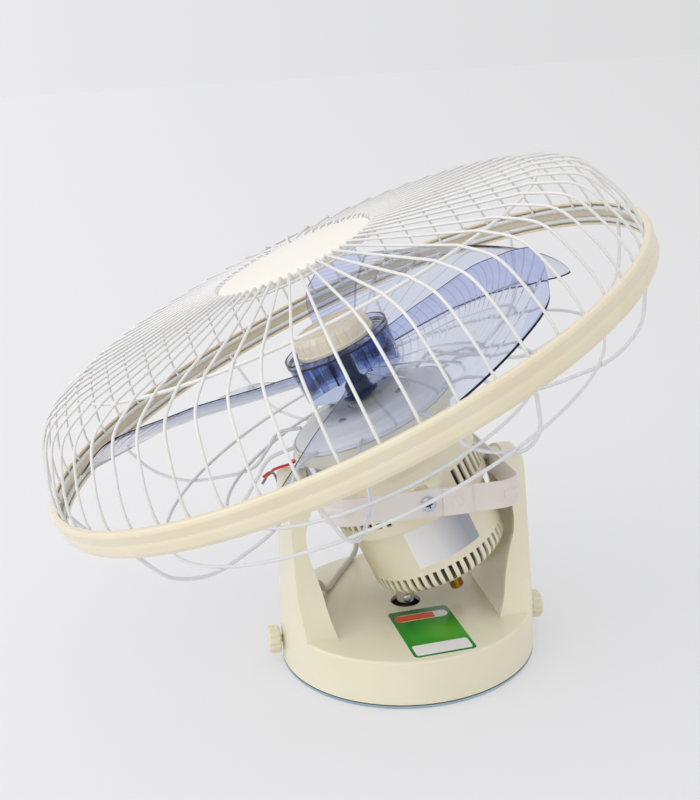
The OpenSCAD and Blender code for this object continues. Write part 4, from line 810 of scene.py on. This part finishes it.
def labelMaterial(m):
    # printed polyester film, glossy: green field with a glow, orange and white bars, no writing
    material, tree, shader = startMaterial("printedPolyesterFilm")
    uv = addNode(tree, "ShaderNodeUVMap", {"uv_map": "label"}).outputs[0]  # in units of 100 mm

    def box(x0, x1, y0, y1, radius):
        middle = ((x0 + x1) / 2, (y0 + y1) / 2, 0)
        half = ((x1 - x0) / 2 - radius, (y1 - y0) / 2 - radius, 0)
        away = addNode(tree, "ShaderNodeVectorMath", {"operation": "SUBTRACT", 1: middle}, {0: uv})
        size = addNode(tree, "ShaderNodeVectorMath", {"operation": "ABSOLUTE"}, {0: away.outputs[0]})
        past = addNode(tree, "ShaderNodeVectorMath", {"operation": "SUBTRACT", 1: half}, {0: size.outputs[0]})
        out = addNode(tree, "ShaderNodeVectorMath", {"operation": "MAXIMUM", 1: (0, 0, 0)}, {0: past.outputs[0]})
        far = addNode(tree, "ShaderNodeVectorMath", {"operation": "LENGTH"}, {0: out.outputs[0]})
        return reckon(tree, "LESS_THAN", far.outputs["Value"], radius)

    high = addNode(tree, "ShaderNodeSeparateXYZ", None, {"Vector": uv}).outputs["Y"]
    field = toneRamp(tree, high, m["field"])
    spot = addNode(tree, "ShaderNodeVectorMath", {"operation": "DISTANCE", 1: m["glowPlace"]}, {0: uv})
    glow = addNode(tree, "ShaderNodeMapRange", {"From Min": 0.26, "From Max": 0.03, "To Min": 0.0, "To Max": 0.5},
                   {"Value": spot.outputs["Value"]})
    colour = addNode(tree, "ShaderNodeMix", {"data_type": "RGBA", 7: linear(m["glow"])},
                     {0: glow.outputs["Result"], 6: field}).outputs[2]
    for place, hexText in m["bars"]:
        colour = addNode(tree, "ShaderNodeMix", {"data_type": "RGBA", 7: linear(hexText)},
                         {0: box(*place), 6: colour}).outputs[2]
    colour = addNode(tree, "ShaderNodeMix", {"data_type": "RGBA", 6: linear(m["border"])},
                     {0: box(*m["printed"]), 7: colour}).outputs[2]
    tree.links.new(colour, shader.inputs["Base Color"])
    setInputs(shader, {"Roughness": 0.2, "Coat Weight": 0.4, "Coat Roughness": 0.08})
    return material


def foilMaterial():
    # thin brushed aluminium foil, left bare, with a painted reflection: nearly white at its left end and grey where
    # it turns away from the light
    material, tree, shader = startMaterial("brushedAluminiumFoilPaintedReflection")
    uv = addNode(tree, "ShaderNodeUVMap", {"uv_map": "label"}).outputs[0]
    along = addNode(tree, "ShaderNodeSeparateXYZ", None, {"Vector": uv}).outputs["X"]
    # painted reflection: bright at the left end, grey towards the right
    tone = toneRamp(tree, along, [(0.02, "#F2F0EE"), (0.2, "#E2E1E2"), (0.42, "#A2A6B0")])
    streak = addNode(tree, "ShaderNodeVectorMath", {"operation": "MULTIPLY", 1: (20, 900, 1)}, {0: uv})
    grain = addNode(tree, "ShaderNodeTexNoise", {"Scale": 1.0, "Detail": 2}, {"Vector": streak.outputs[0]})
    tree.links.new(tone, shader.inputs["Base Color"])
    addRelief(tree, shader, grain.outputs["Fac"], 0.1, 0.0001)
    setInputs(shader, {"Metallic": 0.15, "Roughness": 0.32})
    return material


def thinSheet(name, wide, high, radius, bend, thickness, body, material, strips=12):
    # a rounded sheet of wide x high millimetres; bend takes (x, y, lift) to its place
    outline = rounded([(0, 0, radius), (wide, 0, radius), (wide, high, radius), (0, high, radius)], 6)
    work = bmesh.new()
    layer = work.loops.layers.uv.new("label")
    work.faces.new([work.verts.new((x, y, 0)) for x, y in outline])
    for axis, length in ((0, wide), (1, high)):  # cut into strips, so that the sheet can bend
        for k in range(1, strips):
            middle = [0, 0, 0]
            middle[axis] = length * k / strips
            normal = [0, 0, 0]
            normal[axis] = 1
            bmesh.ops.bisect_plane(work, geom=work.verts[:] + work.edges[:] + work.faces[:],
                                   plane_co=middle, plane_no=normal)
    below = bmesh.ops.duplicate(work, geom=work.faces[:])
    dropped = [g for g in below["geom"] if isinstance(g, bmesh.types.BMVert)]
    bmesh.ops.reverse_faces(work, faces=[g for g in below["geom"] if isinstance(g, bmesh.types.BMFace)])
    for v in work.verts:
        v.co.z = thickness
    for v in dropped:
        v.co.z = 0
    bmesh.ops.bridge_loops(work, edges=[e for e in work.edges if e.is_boundary])
    for face in work.faces:
        for loop in face.loops:
            loop[layer].uv = (loop.vert.co.x / 100, loop.vert.co.y / 100)
    for v in work.verts:
        v.co = bend(v.co.x, v.co.y, v.co.z) * mm
    mesh = bpy.data.meshes.new(name)
    work.to_mesh(mesh)
    work.free()
    finishMesh(name, mesh, [material], body)


def placeLabel(x, y, lift):
    t = math.radians(baseLabel["turn"])
    a, b = x - baseLabel["width"] / 2, y - baseLabel["height"] / 2
    return Vector((baseLabel["middle"][0] + a * math.cos(t) - b * math.sin(t),
                   baseLabel["middle"][1] + a * math.sin(t) + b * math.cos(t), baseLabel["level"] + lift))


def placePlate(x, y, lift):
    r = motorPlate["radius"] + lift
    t = math.radians(motorPlate["start"]) + x / motorPlate["radius"]
    return (headPlace @ (Vector((r * math.cos(t), r * math.sin(t), motorPlate["low"] + y)) * mm)) / mm


finishes["label"] = labelMaterial(baseLabel)
finishes["foil"] = foilMaterial()
thinSheet("base_label", baseLabel["width"], baseLabel["height"], baseLabel["corner"], placeLabel,
          baseLabel["thickness"], "base", finishes["label"])
thinSheet("motor_plate", math.radians(motorPlate["end"] - motorPlate["start"]) * motorPlate["radius"],
          motorPlate["high"] - motorPlate["low"], motorPlate["corner"], placePlate,
          motorPlate["thickness"], "head", finishes["foil"])
print("label and plate made")

crossRecess = {"length": 5.0, "width": 1.06, "floor": 84.5, "lip": 85.55}  # in the heads of the pivot screws


def makeRecesses(c):
    # painted shade: a dark cross in each pivot screw's head, standing for the shade in its recess, at the strap's
    # front and back
    verts, faces = [], []
    for side in (-1, 1):
        for wide, high in ((c["length"], c["width"]), (c["width"], c["length"])):
            addBox(verts, faces, headPlace, (-wide / 2, side * c["floor"], -high / 2),
                   (wide / 2, side * c["lip"], high / 2))
    mesh = bpy.data.meshes.new("screw_cross_painted_shade")
    mesh.from_pydata(verts, [], faces)
    faceOutward(mesh)
    mesh.materials.append(finishes["recess"])
    addPiece("screw_cross_painted_shade", mesh, "head")


makeRecesses(crossRecess)

# the other nodes keep their mesh and take a finish
# the base cover takes the cream painted lighter, which stands in for the light the head shades off it
ownFinish = {"mounting_plate": "plateSteel", "plate_tabs": "plateSteel", "base_cover": "baseCreamPaintedLight"}
for nodeName, node in nodes.items():
    node.data.materials.clear()
    node.data.materials.append(finishes[ownFinish.get(nodeName) or slotFinish.get(nodeSlots.get(nodeName), "cream")])
print("nodes finished", len(nodes))

lighting = {
    "world": 0.79, "floorEven": 0.5, "aim": (0, 0, 0.2),
    "lamps": {"keyLight": dict(place=(-1.0, -0.9, 2.1), spread=60, power=0.64),
              "sideLight": dict(place=(-2.0, -0.2, 1.1), spread=50, power=0.55)},
}
backdrop = {  # from and to are sideways shares of the distance; near and floorHalf are metres
    "left": "#ECECEE", "right": "#DADADB", "from": -0.15, "to": 0.5, "near": 2.0, "floorHalf": 9,
}


# the darkening towards the right is painted shade, where the light falls off across floor and backdrop
def backdropTone(tree, across):  # pale grey that darkens a little towards the right
    share = addNode(tree, "ShaderNodeMapRange", {"From Min": backdrop["from"], "From Max": backdrop["to"]},
                    {"Value": across})
    return toneRamp(tree, share.outputs["Result"], [(0.0, backdrop["left"]), (1.0, backdrop["right"])])


def seenRay(tree):  # 1 for what the camera sees, directly or through plastic and in metal
    path = addNode(tree, "ShaderNodeLightPath")
    either = reckon(tree, "MAXIMUM", path.outputs["Is Camera Ray"], path.outputs["Is Transmission Ray"])
    return reckon(tree, "MAXIMUM", either, path.outputs["Is Glossy Ray"])


def makeStage(light):
    mesh = bpy.data.meshes.new("floor")
    half = backdrop["floorHalf"]
    mesh.from_pydata([(-half, -half, 0), (half, -half, 0), (half, half, 0), (-half, half, 0)], [], [(0, 1, 2, 3)])
    floor = addObject("floor", mesh)
    material, tree, shader = startMaterial("paleFloor")
    place = addNode(tree, "ShaderNodeTexCoord").outputs["Object"]
    split = addNode(tree, "ShaderNodeSeparateXYZ", None, {"Vector": place})
    far = reckon(tree, "ADD", reckon(tree, "ABSOLUTE", split.outputs["Y"]), backdrop["near"])
    tone = backdropTone(tree, reckon(tree, "DIVIDE", split.outputs["X"], far))
    tree.links.new(tone, shader.inputs["Base Color"])
    setInputs(shader, {"Roughness": 0.9})
    even = addNode(tree, "ShaderNodeEmission", None, {"Color": tone})
    share = reckon(tree, "MULTIPLY", seenRay(tree), light["floorEven"])
    mix = addNode(tree, "ShaderNodeMixShader", None, {0: share, 1: shader.outputs[0], 2: even.outputs[0]})
    tree.links.new(mix.outputs[0], tree.nodes["Material Output"].inputs["Surface"])
    mesh.materials.append(material)
    sky = bpy.data.worlds.new("studio")
    bpy.context.scene.world = sky
    sky.use_nodes = True
    tree = sky.node_tree
    back = tree.nodes["Background"]
    setInputs(back, {"Color": (1, 1, 1, 1), "Strength": light["world"]})
    around = addNode(tree, "ShaderNodeTexCoord").outputs["Generated"]
    flat = addNode(tree, "ShaderNodeVectorMath", {"operation": "MULTIPLY", 1: (1, 1, 0)}, {0: around})
    unit = addNode(tree, "ShaderNodeVectorMath", {"operation": "NORMALIZE"}, {0: flat.outputs[0]})
    side = addNode(tree, "ShaderNodeSeparateXYZ", None, {"Vector": unit.outputs[0]})
    tone = backdropTone(tree, side.outputs["X"])
    seen = addNode(tree, "ShaderNodeBackground", {"Strength": 1.0}, {"Color": tone})
    mix = addNode(tree, "ShaderNodeMixShader", None, {0: seenRay(tree), 1: back.outputs[0], 2: seen.outputs[0]})
    tree.links.new(mix.outputs[0], tree.nodes["World Output"].inputs["Surface"])
    for name, facts in light["lamps"].items():
        data = bpy.data.lights.new(name, "SUN")
        data.angle = math.radians(facts["spread"])
        data.energy = facts["power"]
        lamp = addObject(name, data)
        lamp.location = facts["place"]
        lamp.rotation_euler = (Vector(light["aim"]) - Vector(facts["place"])).to_track_quat("-Z", "Y").to_euler()


makeStage(lighting)
bpy.context.scene.view_settings.view_transform = "Standard"
print("stage ready")
